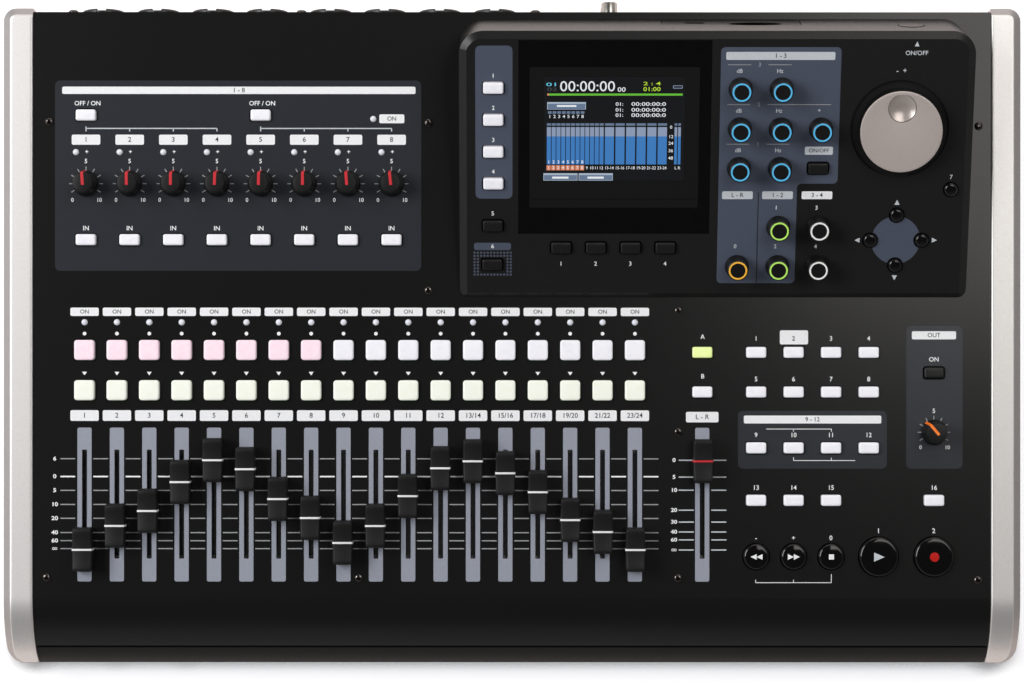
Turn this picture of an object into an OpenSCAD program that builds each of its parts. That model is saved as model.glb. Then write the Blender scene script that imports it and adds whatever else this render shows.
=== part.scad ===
// Desktop digital multitrack recorder, in mm.
// X runs to the right, Y to the rear and Z up, with the floor at Z = 0.
// Panel places are [u, v] from the panel's reference point, u to the right and v to the rear.
// Screen places are [u, s], with s measured up the slope of the display housing.

/* [Body] */
// Overall width over both cheeks
body_w = 514; // [480:1:560]
// Overall depth over the front and rear jacks
body_d = 340.7; // [334:0.1:360]
// Width of each side cheek
cheek_w = 15.05; // [10:0.05:20]
// How far the cheeks stand above the panel
cheek_rise = 1.2; // [0.5:0.1:3]
// Width of the chamfer along each cheek's outer edge
cheek_bevel = 3.3; // [1:0.1:4]
// Corner radius of a cheek's plan at the front
cheek_front_r = 7.5; // [5:0.5:10]
// Corner radius of a cheek's plan at the rear
cheek_rear_r = 6.5; // [5:0.5:10]
// Wall of the hollow cheeks
cheek_wall = 2.5; // [1.5:0.1:4]
// Slope of the main panel to the floor, in degrees
panel_slope = 4; // [0:0.5:6]
// Height of the panel's reference point
panel_z = 54.8; // [50:0.1:62]
// Panel's reference point behind the middle of the body
panel_y = -7.8; // [-10:0.1:-6]
// From the reference point back to the rear edge
panel_rear = 167.2; // [166:0.1:168.5]
// From the reference point forward to the start of the nose
panel_front = 128.8; // [127:0.1:130]
// Outer radius of the rolled front nose
nose_r = 38; // [36:0.5:40]
// Turn of the nose at which the panel ends and the bezel starts
seam_turn = 42; // [36:1:48]
// Turn of the nose at which the bezel ends
bezel_turn = 66; // [60:1:70]
// Thickness of the sheet steel
sheet = 1.5; // [1:0.1:2]
// Height of the panel's rear flange
rear_flange = 7.5; // [7:0.5:9]
// Clearance between the tray's floor and the ground
foot_h = 8; // [5:0.5:12]
// Diameter of a rubber foot
foot_d = 20; // [14:1:26]

/* [Display housing] */
// Tilt of the display housing over the main panel, in degrees
screen_tilt = 16; // [12:0.5:17]
// Front edge of the housing's sloping face
screen_v = 25.3; // [24:0.1:30]
// Height of that front edge above the panel
screen_w = 3; // [2.5:0.1:5]
// Left foot of the housing
housing_left = -26.4; // [-30:0.1:-24]
// Right foot of the housing
housing_right = 230; // [228:0.1:232]
// Length of the sloping face
screen_len = 129.4; // [127:0.1:131]
// Width of the bevel round the sloping face
housing_bevel = 3.7; // [2:0.1:4.5]
// Depth of that bevel
bevel_depth = 2.3; // [1.5:0.1:2.6]
// Rear foot of the housing
housing_rear = 163.8; // [162:0.1:165]
// Wall of the housing
housing_wall = 3; // [2.6:0.1:3.4]
// Corner radius at the rear
housing_rear_r = 12; // [8:0.5:16]
// Corner radius at the front
housing_front_r = 4.5; // [4:0.1:6]
// Width of the screen lens
lens_w = 95.2; // [90:0.1:96]
// Length of the screen lens
lens_l = 97.7; // [90:0.1:98]
// Middle of the screen lens
lens_at = [51.1, 79.8];
// Thickness of the screen lens
lens_t = 2; // [1.2:0.1:2.2]
// Size of the LCD module
lcd_size = [80, 63, 4];
// Middle of the LCD
lcd_at = [51.5, 84.2];

/* [Faders] */
// Number of channel columns
channels = 18; // [4:1:18]
// Column pitch
column_pitch = 16.42; // [15.5:0.01:17]
// First column
first_column = -216.8; // [-218:0.1:-214]
// Master column
master_column = 96.5; // [94:0.1:100]
// Fader travel
fader_travel = 45; // [40:0.5:50]
// Middle of the fader travel
fader_mid = -81.3; // [-82:0.1:-80]
// Rest height of each channel fader above its lower stop
fader_rest = [0, 12, 19.5, 34, 45, 40.5, 25.5, 16, 3.5, 12, 27, 41, 44.5, 38.5, 29, 15, 9, 0];
// Rest height of the master fader
master_rest = 44.5; // [0:0.5:45]
// Fader cap width, length and height over the panel
cap_size = [10, 22, 11.3];
// Gap between cap and panel
cap_gap = 2; // [1.2:0.1:3]
// Depth of the cap's finger hollow
cap_hollow = 1.6; // [1:0.1:2.5]
// Lever blade width and length
lever = [1.2, 5];
// Width of the panel slot
slot_w = 2.2; // [2:0.1:2.6]

/* [Knobs] */
// Base diameter of a trim knob
trim_d = 13; // [12.6:0.1:14]
// Height of a trim knob over the panel
trim_h = 13; // [11:0.1:16]
// Base diameter of an encoder knob
encoder_d = 12; // [11.6:0.1:13]
// Height of an encoder knob over its panel
encoder_h = 9.8; // [9:0.1:10.2]
// Shaft diameter
shaft_d = 5.2; // [4.6:0.1:5.4]
// Bushing diameter
bush_d = 7.6; // [7.4:0.1:8]
// Gap between a knob and its panel
knob_gap = 0.8; // [0.6:0.1:1.2]
// Pointer angle of each trim knob, counter-clockwise from the rear
trim_turn = [4, 1, -1, -2, -1, 0, 4, 6];
// Pointer angle of the monitor knob
monitor_turn = 40; // [-150:1:150]
// Jog wheel diameter
jog_d = 41.5; // [36:0.5:43]
// Jog wheel height over its panel
jog_h = 8; // [6:0.5:10]
// Diameter of the recess round the jog wheel
jog_recess_d = 49; // [46:0.5:50]
// Depth of that recess
jog_recess = 1.5; // [1:0.1:1.8]

/* [Keys] */
// Side of a square channel key
square_key = 10.75; // [9:0.05:11.2]
// Width and length of a rectangular key
bar_key = [10.5, 5.9];
// Key height over its panel
key_rise = 2.2; // [1.5:0.1:3]
// Key travel
key_travel = 1.2; // [0.8:0.1:1.4]
// Clearance round a key
key_gap = 0.4; // [0.35:0.05:0.5]
// Diameter of the small transport keys
small_round = 13.2; // [12:0.1:14]
// Diameter of the large transport keys
large_round = 20; // [17:0.1:21]
// Diameter of the cursor keys
cursor_d = 7; // [6:0.1:7.4]
// Diameter of the standby button
standby_d = 13; // [10:0.5:14]
// Diameter of an indicator lens
led_d = 3; // [2.4:0.1:3.2]

/* [Jacks] */
// Height of the rear jacks over the floor
jack_z = 40; // [36:0.5:42]
// Outer diameter of a combo jack's collar
combo_d = 22.6; // [21:0.1:24]
// How far a combo jack stands out of the rear wall
combo_out = 6.4; // [4:0.1:8]
// Socket diameter of a plug jack
plug_bore = 6.5; // [6.35:0.05:6.6]
// Nut diameter of a plug jack
nut_d = 11.6; // [10:0.1:12]

/* [Hidden] */
$fn = 48;

// Width between the cheeks, and the seam left at each cheek
inner_w = body_w - 2 * cheek_w;
seam = 0.2;
panel_w = inner_w - 2 * seam;

// Width between the cheeks that the places are drawn for, and how far they spread with the real one
drawn_w = 486;
spread = inner_w / drawn_w;
house_x0 = spread * housing_left;
house_x1 = spread * housing_right;
lens_u = spread * lens_at[0];
lcd_u = spread * lcd_at[0];

// Levels below the panel's face
board_level = 11;
board_t = 1.6;
screen_board_level = housing_wall + 9;
body_level = 3;
flange_gap = 0.5;
flange_t = 1;
flange_rim = 0.8;

// Faces of the tray
floor_top = foot_h + sheet;
rear_face = panel_y + (panel_rear - sheet) * cos(panel_slope) - seam;
nose_end = [
    -panel_front - nose_r * sin(bezel_turn),
    nose_r * (cos(bezel_turn) - 1)
];
bezel_y = panel_y + nose_end[0] * cos(panel_slope) - nose_end[1] * sin(panel_slope);
bezel_z = panel_z + nose_end[0] * sin(panel_slope) + nose_end[1] * cos(panel_slope);
front_face = bezel_y + sheet;
cheek_front = bezel_y - 0.3;
cheek_back = panel_rear + 2.1;
cheek_rear = panel_y + cheek_back * cos(panel_slope);
nut_t = front_face + body_d / 2;
phones_z = foot_h + nut_d / 2 + 0.4;

// Colours for the plain views
black = [0.12, 0.12, 0.13];
slate = [0.27, 0.29, 0.35];
silver = [0.80, 0.79, 0.77];
white = [0.95, 0.95, 1.00];
green = [0.10, 0.35, 0.20];
metal = [0.70, 0.70, 0.72];

// Places on the main panel
column_u = [for (i = [0:channels - 1]) spread * (first_column + column_pitch * i)];
master_u = spread * master_column;
rec_v = -3.5;
select_v = -23.8;
mute_led_v = 10.5;
input_u = [for (i = [0:7]) spread * (-216.1 + 22.14 * i)];
trim_v = 80.5;
source_v = 52.2;
overload_led = [-5.1, 96.4];
phantom_v = 115.1;
phantom_places = [for (u = [-216.1, -127.5]) [spread * u, phantom_v]];
guitar_led = [spread * -70.4, 113.2];
key_u = [for (u = [123.8, 142.8, 161.8, 180.9]) spread * u];
key_v = [-4.6, -24.6, -52.8];
punch_v = -79.3;
monitor_u = spread * 214;
monitor_key_v = -14.9;
monitor_knob_v = -44.9;
transport_v = -107.7;
large_u = [for (u = [185.9, 213.9]) spread * u];
panel_key_places = concat(
    phantom_places,
    [for (u = input_u) [u, source_v]],
    [for (v = [key_v[0], key_v[1]]) [master_u, v]],
    [for (u = key_u, v = key_v) [u, v]],
    [for (u = [key_u[0], key_u[1], key_u[2], monitor_u]) [u, punch_v]],
    [[monitor_u, monitor_key_v]]
);
led_places = concat(
    [for (u = column_u) [u, mute_led_v]],
    [for (u = input_u) [u + overload_led[0], overload_led[1]]],
    [guitar_led]
);
post_drawn = [
    [-234.8, 111.7], [-42.4, 111.2], [-42.4, 26.6], [-236, -118.4], [-77.7, -118.5],
    [84.2, -118.6], [84.4, 16.5], [84.3, -44.8], [236.3, -119.5], [236.6, 109.7]
];
post_places = [for (p = post_drawn) [spread * p[0], p[1]]];
board_hole = post_places[7];

// Places on the sloping face
eq_u = [for (u = [113.4, 133.8, 153.8]) spread * u];
eq_s = [104.5, 84.4, 64.4];
send_s = [34.3, 14.1];
encoder_places = concat(
    [for (s = eq_s, u = [eq_u[0], eq_u[1]]) [u, s]],
    [[eq_u[2], eq_s[1]], [eq_u[0], send_s[1]]],
    [for (s = send_s, u = [eq_u[1], eq_u[2]]) [u, s]]
);
jog_at = [spread * 193.1, 84.4];
jog_dimple = 11;
cursor_at = [spread * 193.2, 27.5];
cursor_reach = 13;
jog_play_at = [spread * 219.8, 53.6];
screen_bar_drawn = concat(
    [for (i = [0:3]) [-9.4, 56.6 + 16.15 * i]],
    [[-9.7, 35], [-10, 15]],
    [for (i = [0:3]) [24.7 + 17.5 * i, 23.7]],
    [[153, eq_s[2]]]
);
screen_bar_places = [for (p = screen_bar_drawn) [spread * p[0], p[1]]];
cursor_places = concat(
    [for (a = [0:90:270]) [cursor_at[0] + cursor_reach * cos(a), cursor_at[1] + cursor_reach * sin(a)]],
    [jog_play_at]
);

// Rear slope of the display housing, from its top edge to its foot
slope_top = [
    screen_v + (screen_len + housing_bevel) * cos(screen_tilt) + bevel_depth * sin(screen_tilt),
    screen_w + (screen_len + housing_bevel) * sin(screen_tilt) - bevel_depth * cos(screen_tilt)
];
slope_lean = atan((housing_rear - slope_top[0]) / slope_top[1]);
standby_at = [spread * 199.6, 20.5];
card_at = [spread * 110, 12];
card_recess = [70, 17, 1.6];
card_slot = [26, 2.6];
card_u = spread * 122;
usb_slot = [9.5, 3.6];
usb_u = spread * 91.7;
card_depth = 22;
rotary_size = [10, 11, 5];

// Rear and front jack places
combo_u = [for (u = [-210.6, -182.2, -154.1, -126.2, -93.4, -65.6, -37.2, -9]) spread * u];
phono_u = spread * 50.5;
phono_z = [jack_z - 24, jack_z - 10];
phono_d = 8.3;
din_u = [for (u = [84, 108]) spread * u];
din_d = 17;
line_u = [for (u = [138, 157, 183, 199]) spread * u];
inlet_u = spread * 224;
inlet_size = [10, 11, 14];
inlet_bore = 6.2;
inlet_pin = 2;
inlet_reach = 10;
combo_bore = 17.4;
combo_well = 8;
combo_depth = 24;
phones_u = [for (u = [-206, -170.4]) spread * u];
rear_screw_u = [for (u = [-223.1, -107.1, 11.8]) spread * u];
rear_screw_drop = 4.8;

// Every sub-part by name

// Frames

module on_panel() {
    translate([0, panel_y, panel_z]) rotate([panel_slope, 0, 0]) children();
}

module on_screen() {
    on_panel() translate([0, screen_v, screen_w]) rotate([screen_tilt, 0, 0]) children();
}

// Local Z leaves the rear slope at the stated height above the panel, and local Y runs down it
module on_rear_slope(u, w) {
    v = housing_rear - w * tan(slope_lean);
    on_panel() translate([u, v, w]) rotate([-90 + slope_lean, 0, 0]) children();
}

// Local Z runs up the rear slope from its top edge, and local Y leaves the slope
module on_slope_edge() {
    on_panel() translate([0, slope_top[0], slope_top[1]]) rotate([slope_lean, 0, 0]) children();
}

// Local Z points out of the panel's rear flange
module on_flange(u) {
    on_panel() translate([u, panel_rear, -rear_screw_drop]) rotate([-90, 0, 0]) children();
}

// Local Z points out of the rear wall
module on_rear(u, z) {
    translate([u, rear_face, z]) rotate([-90, 0, 0]) children();
}

// Local Z points out of the front wall
module on_front(u, z) {
    translate([u, front_face, z]) rotate([90, 0, 0]) children();
}

module at(places, level = 0) {
    for (p = places) translate([p[0], p[1], level]) children();
}

// A drawing in [Y, Z] pulled out along X
module along_x(x0, x1) {
    translate([x0, 0, 0]) rotate([90, 0, 90]) linear_extrude(x1 - x0) children();
}

module block(size, z0, z1) {
    translate([-size[0] / 2, -size[1] / 2, z0]) cube([size[0], size[1], z1 - z0]);
}

module rod(d, z0, z1) {
    translate([0, 0, z0]) cylinder(d = d, h = z1 - z0);
}

// Four corner arcs of a rounded rectangle
function rounded(w, h, r) = [
    for (c = [0:3], a = [0:22.5:90])
        let (sx = [1, -1, -1, 1][c], sy = [1, 1, -1, -1][c])
        [sx * (w / 2 - r) + r * cos(90 * c + a), sy * (h / 2 - r) + r * sin(90 * c + a)]
];

module slab(size, r, z0, z1) {
    translate([0, 0, z0]) linear_extrude(z1 - z0) polygon(rounded(size[0], size[1], r));
}

// Sheet metal

// Section of the nose between two turns, in the panel's frame
module nose_section(turn0, turn1) {
    reach = 2 * nose_r;
    translate([-panel_front, -nose_r]) intersection() {
        difference() {
            circle(nose_r, $fn = 120);
            circle(nose_r - sheet, $fn = 120);
        }
        polygon([
            [0, 0],
            reach * [-sin(turn0), cos(turn0)],
            reach * [-sin(turn1), cos(turn1)]
        ]);
    }
}

module panel_section() {
    translate([-panel_front, -sheet]) square([panel_front + panel_rear, sheet]);
    translate([panel_rear - sheet, -rear_flange]) square([sheet, rear_flange]);
    nose_section(0, seam_turn);
}

module key_hole(size, r) {
    slab([size[0] + 2 * key_gap, size[1] + 2 * key_gap], r + key_gap, -2 * housing_wall, housing_wall);
}

module round_hole(d) {
    rod(d + 2 * key_gap, -2 * housing_wall, housing_wall);
}

module panel_holes() {
    slot_l = fader_travel + lever[1] + 5;
    for (u = concat(column_u, [master_u]))
        translate([u, fader_mid, 0]) block([slot_w, slot_l], -2 * sheet, sheet);
    for (u = column_u, v = [rec_v, select_v])
        translate([u, v, 0]) key_hole([square_key, square_key], 1.5);
    at(panel_key_places) key_hole(bar_key, 1);
    at([for (u = [key_u[0], key_u[1], key_u[2]]) [u, transport_v]]) round_hole(small_round);
    at([for (u = large_u) [u, transport_v]]) round_hole(large_round);
    at([for (u = input_u) [u, trim_v]]) round_hole(bush_d);
    translate([monitor_u, monitor_knob_v, 0]) round_hole(bush_d);
    at(led_places) rod(led_d + 0.4, -2 * sheet, sheet);
    at(post_places) rod(3.4, -2 * sheet, sheet);
    rim = housing_wall + 3;
    translate([house_x0 + rim, screen_v + 2, -2 * sheet])
        cube([
            house_x1 - house_x0 - 2 * rim,
            housing_rear - screen_v - 2 - rim,
            4 * sheet
        ]);
}

module top_panel() {
    color(black) difference() {
        on_panel() along_x(-panel_w / 2, panel_w / 2) panel_section();
        on_panel() panel_holes();
        for (u = rear_screw_u) on_flange(u) rod(3.4, -2 * sheet, sheet);
    }
}

module tray_section() {
    rear_top = panel_z + (panel_rear - 4) * sin(panel_slope) - sheet - 0.6;
    translate([front_face, foot_h]) square([rear_face - front_face, sheet]);
    translate([rear_face - sheet, foot_h]) square([sheet, rear_top - foot_h]);
    translate([front_face, foot_h]) square([sheet, bezel_z + sheet - foot_h]);
    translate([panel_y, panel_z]) rotate(panel_slope) nose_section(seam_turn + 0.6, bezel_turn);
}

module bottom_tray() {
    color(black) difference() {
        along_x(-panel_w / 2, panel_w / 2) tray_section();
        for (u = combo_u) on_rear(u, jack_z) rod(combo_d + 0.6, -2 * sheet, sheet);
        for (z = phono_z) on_rear(phono_u, z) rod(phono_d + 0.6, -2 * sheet, sheet);
        for (u = din_u) on_rear(u, jack_z) rod(din_d + 0.6, -2 * sheet, sheet);
        for (u = line_u) on_rear(u, jack_z) rod(nut_d - 2, -2 * sheet, sheet);
        on_rear(inlet_u, jack_z) block([inlet_size[0] + 0.6, inlet_size[1] + 0.6], -2 * sheet, sheet);
        for (u = phones_u) on_front(u, phones_z) rod(nut_d - 2, -2 * sheet, sheet);
        for (u = rear_screw_u) on_flange(u) rod(3.4, -4 * sheet, 0);
    }
}

// Cheeks

// Side view, open at its ends unless it is inset, with its rear top edge chamfered
module cheek_section(inset) {
    front = inset > 0 ? cheek_front + inset : -body_d;
    rear = inset > 0 ? panel_rear - inset : body_d;
    edge = cheek_back - cheek_bevel;
    difference() {
        intersection() {
            translate([panel_y, panel_z]) rotate(panel_slope) union() {
                translate([-panel_front, -2 * panel_z])
                    square([panel_front + rear, 2 * panel_z + cheek_rise - inset]);
                translate([-panel_front, -nose_r]) circle(nose_r + cheek_rise - inset, $fn = 120);
            }
            translate([front, foot_h - sheet + inset]) square([2 * body_d, 2 * panel_z]);
        }
        translate([panel_y, panel_z]) rotate(panel_slope)
            polygon([[edge, cheek_rise], [edge + body_d, cheek_rise], [edge + body_d, cheek_rise - body_d]]);
    }
}

// Plan of a right cheek, with its two outer corners rounded
module cheek_plan(front_r, rear_r) {
    x0 = inner_w / 2;
    x1 = body_w / 2;
    middle = panel_y;
    translate([x0, cheek_front]) square([x1 - x0 - front_r, middle - cheek_front]);
    translate([x0, cheek_front + front_r]) square([x1 - x0, cheek_rear - rear_r - cheek_front - front_r]);
    translate([x0, middle]) square([x1 - x0 - rear_r, cheek_rear - middle]);
    translate([x1 - front_r, cheek_front + front_r]) circle(front_r);
    translate([x1 - rear_r, cheek_rear - rear_r]) circle(rear_r);
}

// End view of a right cheek, with its outer top edge chamfered, in the panel's frame
module cheek_end() {
    polygon([
        [inner_w / 2, -2 * panel_z],
        [body_w / 2, -2 * panel_z],
        [body_w / 2, cheek_rise - cheek_bevel],
        [body_w / 2 - cheek_bevel, cheek_rise],
        [inner_w / 2, cheek_rise]
    ]);
}

module cheek() {
    difference() {
        intersection() {
            along_x(inner_w / 2, body_w / 2) cheek_section(0);
            linear_extrude(2 * panel_z) cheek_plan(cheek_front_r, cheek_rear_r);
            on_panel() translate([0, body_d, 0]) rotate([90, 0, 0]) linear_extrude(2 * body_d) cheek_end();
        }
        along_x(inner_w / 2 - 1, body_w / 2 - cheek_wall - 2) cheek_section(cheek_wall + 1.4);
    }
}

module right_cheek() {
    color(silver) cheek();
}

module left_cheek() {
    color(silver) mirror([1, 0, 0]) cheek();
}

module foot(at_xy) {
    translate([at_xy[0], at_xy[1], 0]) rotate_extrude()
        polygon([[0, 0], [foot_d / 2 - 2, 0], [foot_d / 2, 2], [foot_d / 2, foot_h], [0, foot_h]]);
}

module feet() {
    color(black) for (x = [-1, 1], y = [-1, 1])
        foot([x * (inner_w / 2 - 28), y * (body_d / 2 - 38)]);
}

// Display housing

// Side view, open at the rear, where the slope closes it
module housing_side(inset) {
    lip = 2.1;
    foot = inset > 0 ? -20 : 0;
    face = [cos(screen_tilt), sin(screen_tilt)];
    down = [sin(screen_tilt), -cos(screen_tilt)];
    front = [screen_v + inset, screen_w + inset * tan(screen_tilt) - inset / cos(screen_tilt)];
    top = [screen_v, screen_w] + (screen_len - inset) * face + inset * down;
    beyond = top + 5 * housing_bevel * face + 5 * bevel_depth * down;
    polygon([[screen_v - lip + 2 * inset, foot], front, top, beyond, [beyond[0], foot]]);
}

// Plan of the front and sides, with both front corners rounded
module housing_front_plan(inset) {
    x0 = house_x0 + inset;
    x1 = house_x1 - inset;
    y0 = screen_v - 2.1 + inset;
    r = housing_front_r - min(inset, housing_front_r - 0.5);
    translate([x0, y0 + r]) square([x1 - x0, body_d]);
    translate([x0 + r, y0]) square([x1 - x0 - 2 * r, 2 * r]);
    for (x = [x0 + r, x1 - r]) translate([x, y0 + r]) circle(r);
}

// Plan seen along the rear slope, with both rear corners rounded
module housing_rear_plan(inset) {
    x0 = house_x0 + inset;
    x1 = house_x1 - inset;
    r = housing_rear_r - inset;
    translate([x0, -body_d]) square([x1 - x0, body_d - inset - r]);
    translate([x0 + r, -body_d]) square([x1 - x0 - 2 * r, body_d - inset]);
    for (x = [x0 + r, x1 - r]) translate([x, -inset - r]) circle(r);
}

// What is cut from both rear corners so that the bevel runs round them
module corner_bevels() {
    proud = 0.1;
    r = housing_rear_r + proud;
    run = housing_bevel / bevel_depth;
    below = 1;
    above = 2 * bevel_depth;
    for (corner = [[house_x0 + housing_rear_r, -2 * r], [house_x1 - housing_rear_r, 0]])
        on_slope_edge() translate([corner[0], -housing_rear_r, 0]) difference() {
            translate([corner[1], 0, -below]) cube([2 * r, 2 * r, below + above]);
            translate([0, 0, -below - 1])
                cylinder(r1 = r + run * (below + 1), r2 = r - run * (above + 1), h = below + above + 2);
        }
}

// End view in the sloping face's frame, with both side edges bevelled
module housing_end(inset) {
    x0 = house_x0 + inset;
    x1 = house_x1 - inset;
    polygon([
        [x0, -body_d],
        [x0, -bevel_depth - inset],
        [x0 + housing_bevel - inset / 2, -inset],
        [x1 - housing_bevel + inset / 2, -inset],
        [x1, -bevel_depth - inset],
        [x1, -body_d]
    ]);
}

module housing_form(inset) {
    intersection() {
        on_panel() along_x(-body_w, body_w) housing_side(inset);
        on_panel() translate([0, 0, -30]) linear_extrude(120) housing_front_plan(inset);
        on_slope_edge() translate([0, 0, -120]) linear_extrude(160) housing_rear_plan(inset);
        on_screen() translate([0, 2 * body_d, 0]) rotate([90, 0, 0]) linear_extrude(4 * body_d) housing_end(inset);
    }
}

module screen_holes() {
    at(screen_bar_places) key_hole(bar_key, 1);
    at(cursor_places) round_hole(cursor_d);
    at(encoder_places) round_hole(bush_d);
    at([jog_at]) {
        round_hole(bush_d);
        rod(jog_recess_d, -jog_recess, housing_wall);
    }
    translate([lens_u, lens_at[1], 0]) block([lens_w + 0.3, lens_l + 0.3], -lens_t, housing_wall);
    translate([lcd_u, lcd_at[1], 0]) block([lcd_size[0] - 4, lcd_size[1] - 4], -2 * housing_wall, 0);
}

module display_housing() {
    color(black) difference() {
        housing_form(0);
        housing_form(housing_wall);
        corner_bevels();
        on_screen() screen_holes();
        on_rear_slope(standby_at[0], standby_at[1]) round_hole(standby_d);
        on_rear_slope(card_at[0], card_at[1]) slab([card_recess[0], card_recess[1]], 2, -card_recess[2], 4);
        on_rear_slope(card_u, card_at[1]) block(card_slot, -2 * housing_wall, 4);
        on_rear_slope(usb_u, card_at[1]) block(usb_slot, -2 * housing_wall, 4);
    }
}

module display_window() {
    color(slate) on_screen() translate([lens_u, lens_at[1], 0])
        slab([lens_w, lens_l], 1.5, -lens_t, 0.15);
}

module lcd_module() {
    color(metal) on_screen() translate([lcd_u, lcd_at[1], 0])
        block(lcd_size, -housing_wall - lcd_size[2], -housing_wall);
}

// Boards and control bodies

// A board from its lower left corner to its upper right one, with its top at a level below the face
module board(low, high, level) {
    translate([low[0], low[1], -level - board_t]) cube([high[0] - low[0], high[1] - low[1], board_t]);
}

module circuit_boards() {
    half = panel_w / 2 - 14.8;
    front = fader_mid - fader_travel / 2 - 9.2;
    color(green) {
        on_panel() {
            difference() {
                board([-half, front], [half, mute_led_v + 2.1], board_level);
                at([board_hole]) rod(9, -2 * board_level, 0);
            }
            board([-half, source_v - 8.2], [input_u[7] + 13.12, phantom_v + 8.9], board_level);
        }
        on_screen()
            board([house_x0 + 6.4, send_s[1] - 8.1], [house_x1 - 6.6, eq_s[0] + 13.5], screen_board_level);
    }
}

module slide_body() {
    length = fader_travel + lever[1] + 16;
    difference() {
        block([8, length], -board_level, -body_level);
        block([slot_w, fader_travel + lever[1] + 2], -board_level + 1.5, 0);
    }
}

// A rotary control standing on its board, with its bushing up through the panel above
module rotary_body(level) {
    difference() {
        union() {
            block(rotary_size, -level, -level + rotary_size[2]);
            rod(bush_d, -level + rotary_size[2], 1.6);
        }
        rod(shaft_d + 0.8, -level + 1.5, 2);
    }
}

module control_bodies() {
    color(metal) {
        on_panel() {
            for (u = concat(column_u, [master_u])) translate([u, fader_mid, 0]) slide_body();
            for (u = input_u) translate([u, trim_v, 0]) rotary_body(board_level);
            translate([monitor_u, monitor_knob_v, 0]) rotary_body(board_level);
        }
        on_screen() at(concat(encoder_places, [jog_at])) rotary_body(screen_board_level);
    }
}

module indicator_lenses() {
    color(white) on_panel() at(led_places) {
        rod(led_d, -board_level, 0.3);
        translate([0, 0, 0.3]) intersection() {
            sphere(d = led_d);
            rod(led_d, 0, led_d);
        }
    }
}

// Jacks

module combo_jack() {
    notch = 5;
    difference() {
        union() {
            rod(combo_d, -combo_depth, combo_out);
            rod(combo_d + 3, -sheet - 3, -sheet);
        }
        rod(combo_bore, -combo_well, combo_out + 1);
        rod(plug_bore, -combo_depth + 3, 0);
        translate([-notch / 2, -combo_d, -2]) cube([notch, combo_d, combo_out + 3]);
    }
}

module plug_jack(nut) {
    difference() {
        union() {
            rod(nut_d - 2.6, -18, nut);
            rod(nut_d, 0, nut);
            block([nut_d + 1, nut_d - 3], -18, -sheet);
        }
        rod(plug_bore, -16, nut + 1);
    }
}

module phono_socket() {
    tip = body_d / 2 - rear_face;
    difference() {
        union() {
            rod(phono_d, -sheet, tip);
            rod(phono_d + 4, 0, 1.2);
            block([12, 12], -14, -sheet);
        }
        rod(3.4, -8, tip + 1);
    }
}

module din_socket() {
    difference() {
        union() {
            rod(din_d, -14, 1);
            block([din_d + 3, din_d + 3], -14, -sheet);
        }
        rod(din_d - 3, -7, 2);
    }
}

module dc_inlet() {
    difference() {
        block(inlet_size, -inlet_size[2], 0.6);
        rod(inlet_bore, -inlet_reach, 1);
    }
    rod(inlet_pin, -inlet_reach - 0.5, 0);
}

module slope_socket(slot) {
    difference() {
        block([slot[0] + 3, slot[1] + 2.4], -housing_wall - card_depth, -housing_wall - 0.4);
        block(slot, -housing_wall - card_depth + 2, 0);
    }
}

module jacks() {
    color(metal) {
        for (u = combo_u) on_rear(u, jack_z) combo_jack();
        for (u = line_u) on_rear(u, jack_z) plug_jack(3);
        for (u = phones_u) on_front(u, phones_z) plug_jack(nut_t);
        for (z = phono_z) on_rear(phono_u, z) phono_socket();
        for (u = din_u) on_rear(u, jack_z) din_socket();
        on_rear(inlet_u, jack_z) dc_inlet();
        on_rear_slope(card_u, card_at[1]) slope_socket(card_slot);
        on_rear_slope(usb_u, card_at[1]) slope_socket(usb_slot);
    }
}

// Screws

module screw() {
    rotate_extrude() polygon([[0, -6], [1.4, -6], [1.4, 0], [2.1, 0], [2.1, 0.7], [1.4, 1.3], [0, 1.3]]);
}

// A spacer from the tray's floor up to the panel, bored for its screw
module post(place) {
    intersection() {
        on_panel() translate([place[0], place[1], 0]) difference() {
            rod(7, -2 * panel_z, -sheet);
            rod(3, -sheet - 8, 0);
        }
        translate([-body_w / 2, -body_d / 2, floor_top]) cube([body_w, body_d, 2 * panel_z]);
    }
}

module screws() {
    color(metal) {
        on_panel() at(post_places) screw();
        for (place = post_places) post(place);
        for (u = rear_screw_u) on_flange(u) screw();
    }
}

// Faders

// The cap's middle stands at the origin, on the panel's face
module fader_cap() {
    half = cap_size[1] / 2;
    hollow_r = (half * half + cap_hollow * cap_hollow) / (2 * cap_hollow);
    line_top = cap_size[2] - cap_hollow + 0.15;
    lever_top = cap_size[2] - 4;
    difference() {
        union() {
            difference() {
                slab([cap_size[0], cap_size[1]], 2.4, cap_gap, cap_size[2]);
                translate([-cap_size[0], 0, cap_size[2] - cap_hollow + hollow_r]) rotate([0, 90, 0])
                    cylinder(r = hollow_r, h = 2 * cap_size[0], $fn = 120);
                slab([cap_size[0] - 3, cap_size[1] - 3], 1.2, 0, cap_gap + 2);
            }
            block([cap_size[0], 1], cap_gap + 2, line_top);
        }
        block([lever[0] + 0.1, lever[1] + 0.1], 0, lever_top + 0.2);
    }
    block(lever, 1.9 - board_level, lever_top);
}

module fader_at(u, rest) {
    color(black) on_panel() translate([u, fader_mid - fader_travel / 2 + rest, 0]) fader_cap();
}

// Knobs

module shaft(level, top) {
    rod(shaft_d, -level + 2, top);
}

module pointer(length, top) {
    translate([-0.45, -0.6, top - 1]) cube([0.9, length, 1.2]);
}

module turned_knob(base_d, top_d, height) {
    rotate_extrude() difference() {
        polygon([
            [0, knob_gap],
            [base_d / 2, knob_gap],
            [base_d / 2, knob_gap + 1.6],
            [top_d / 2, height - 0.6],
            [top_d / 2 - 0.6, height],
            [0, height]
        ]);
        translate([-1, 0]) square([base_d / 2 - 0.2, 2.8]);
        translate([-1, 0]) square([shaft_d / 2 + 1.05, height - 2.5]);
    }
}

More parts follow.
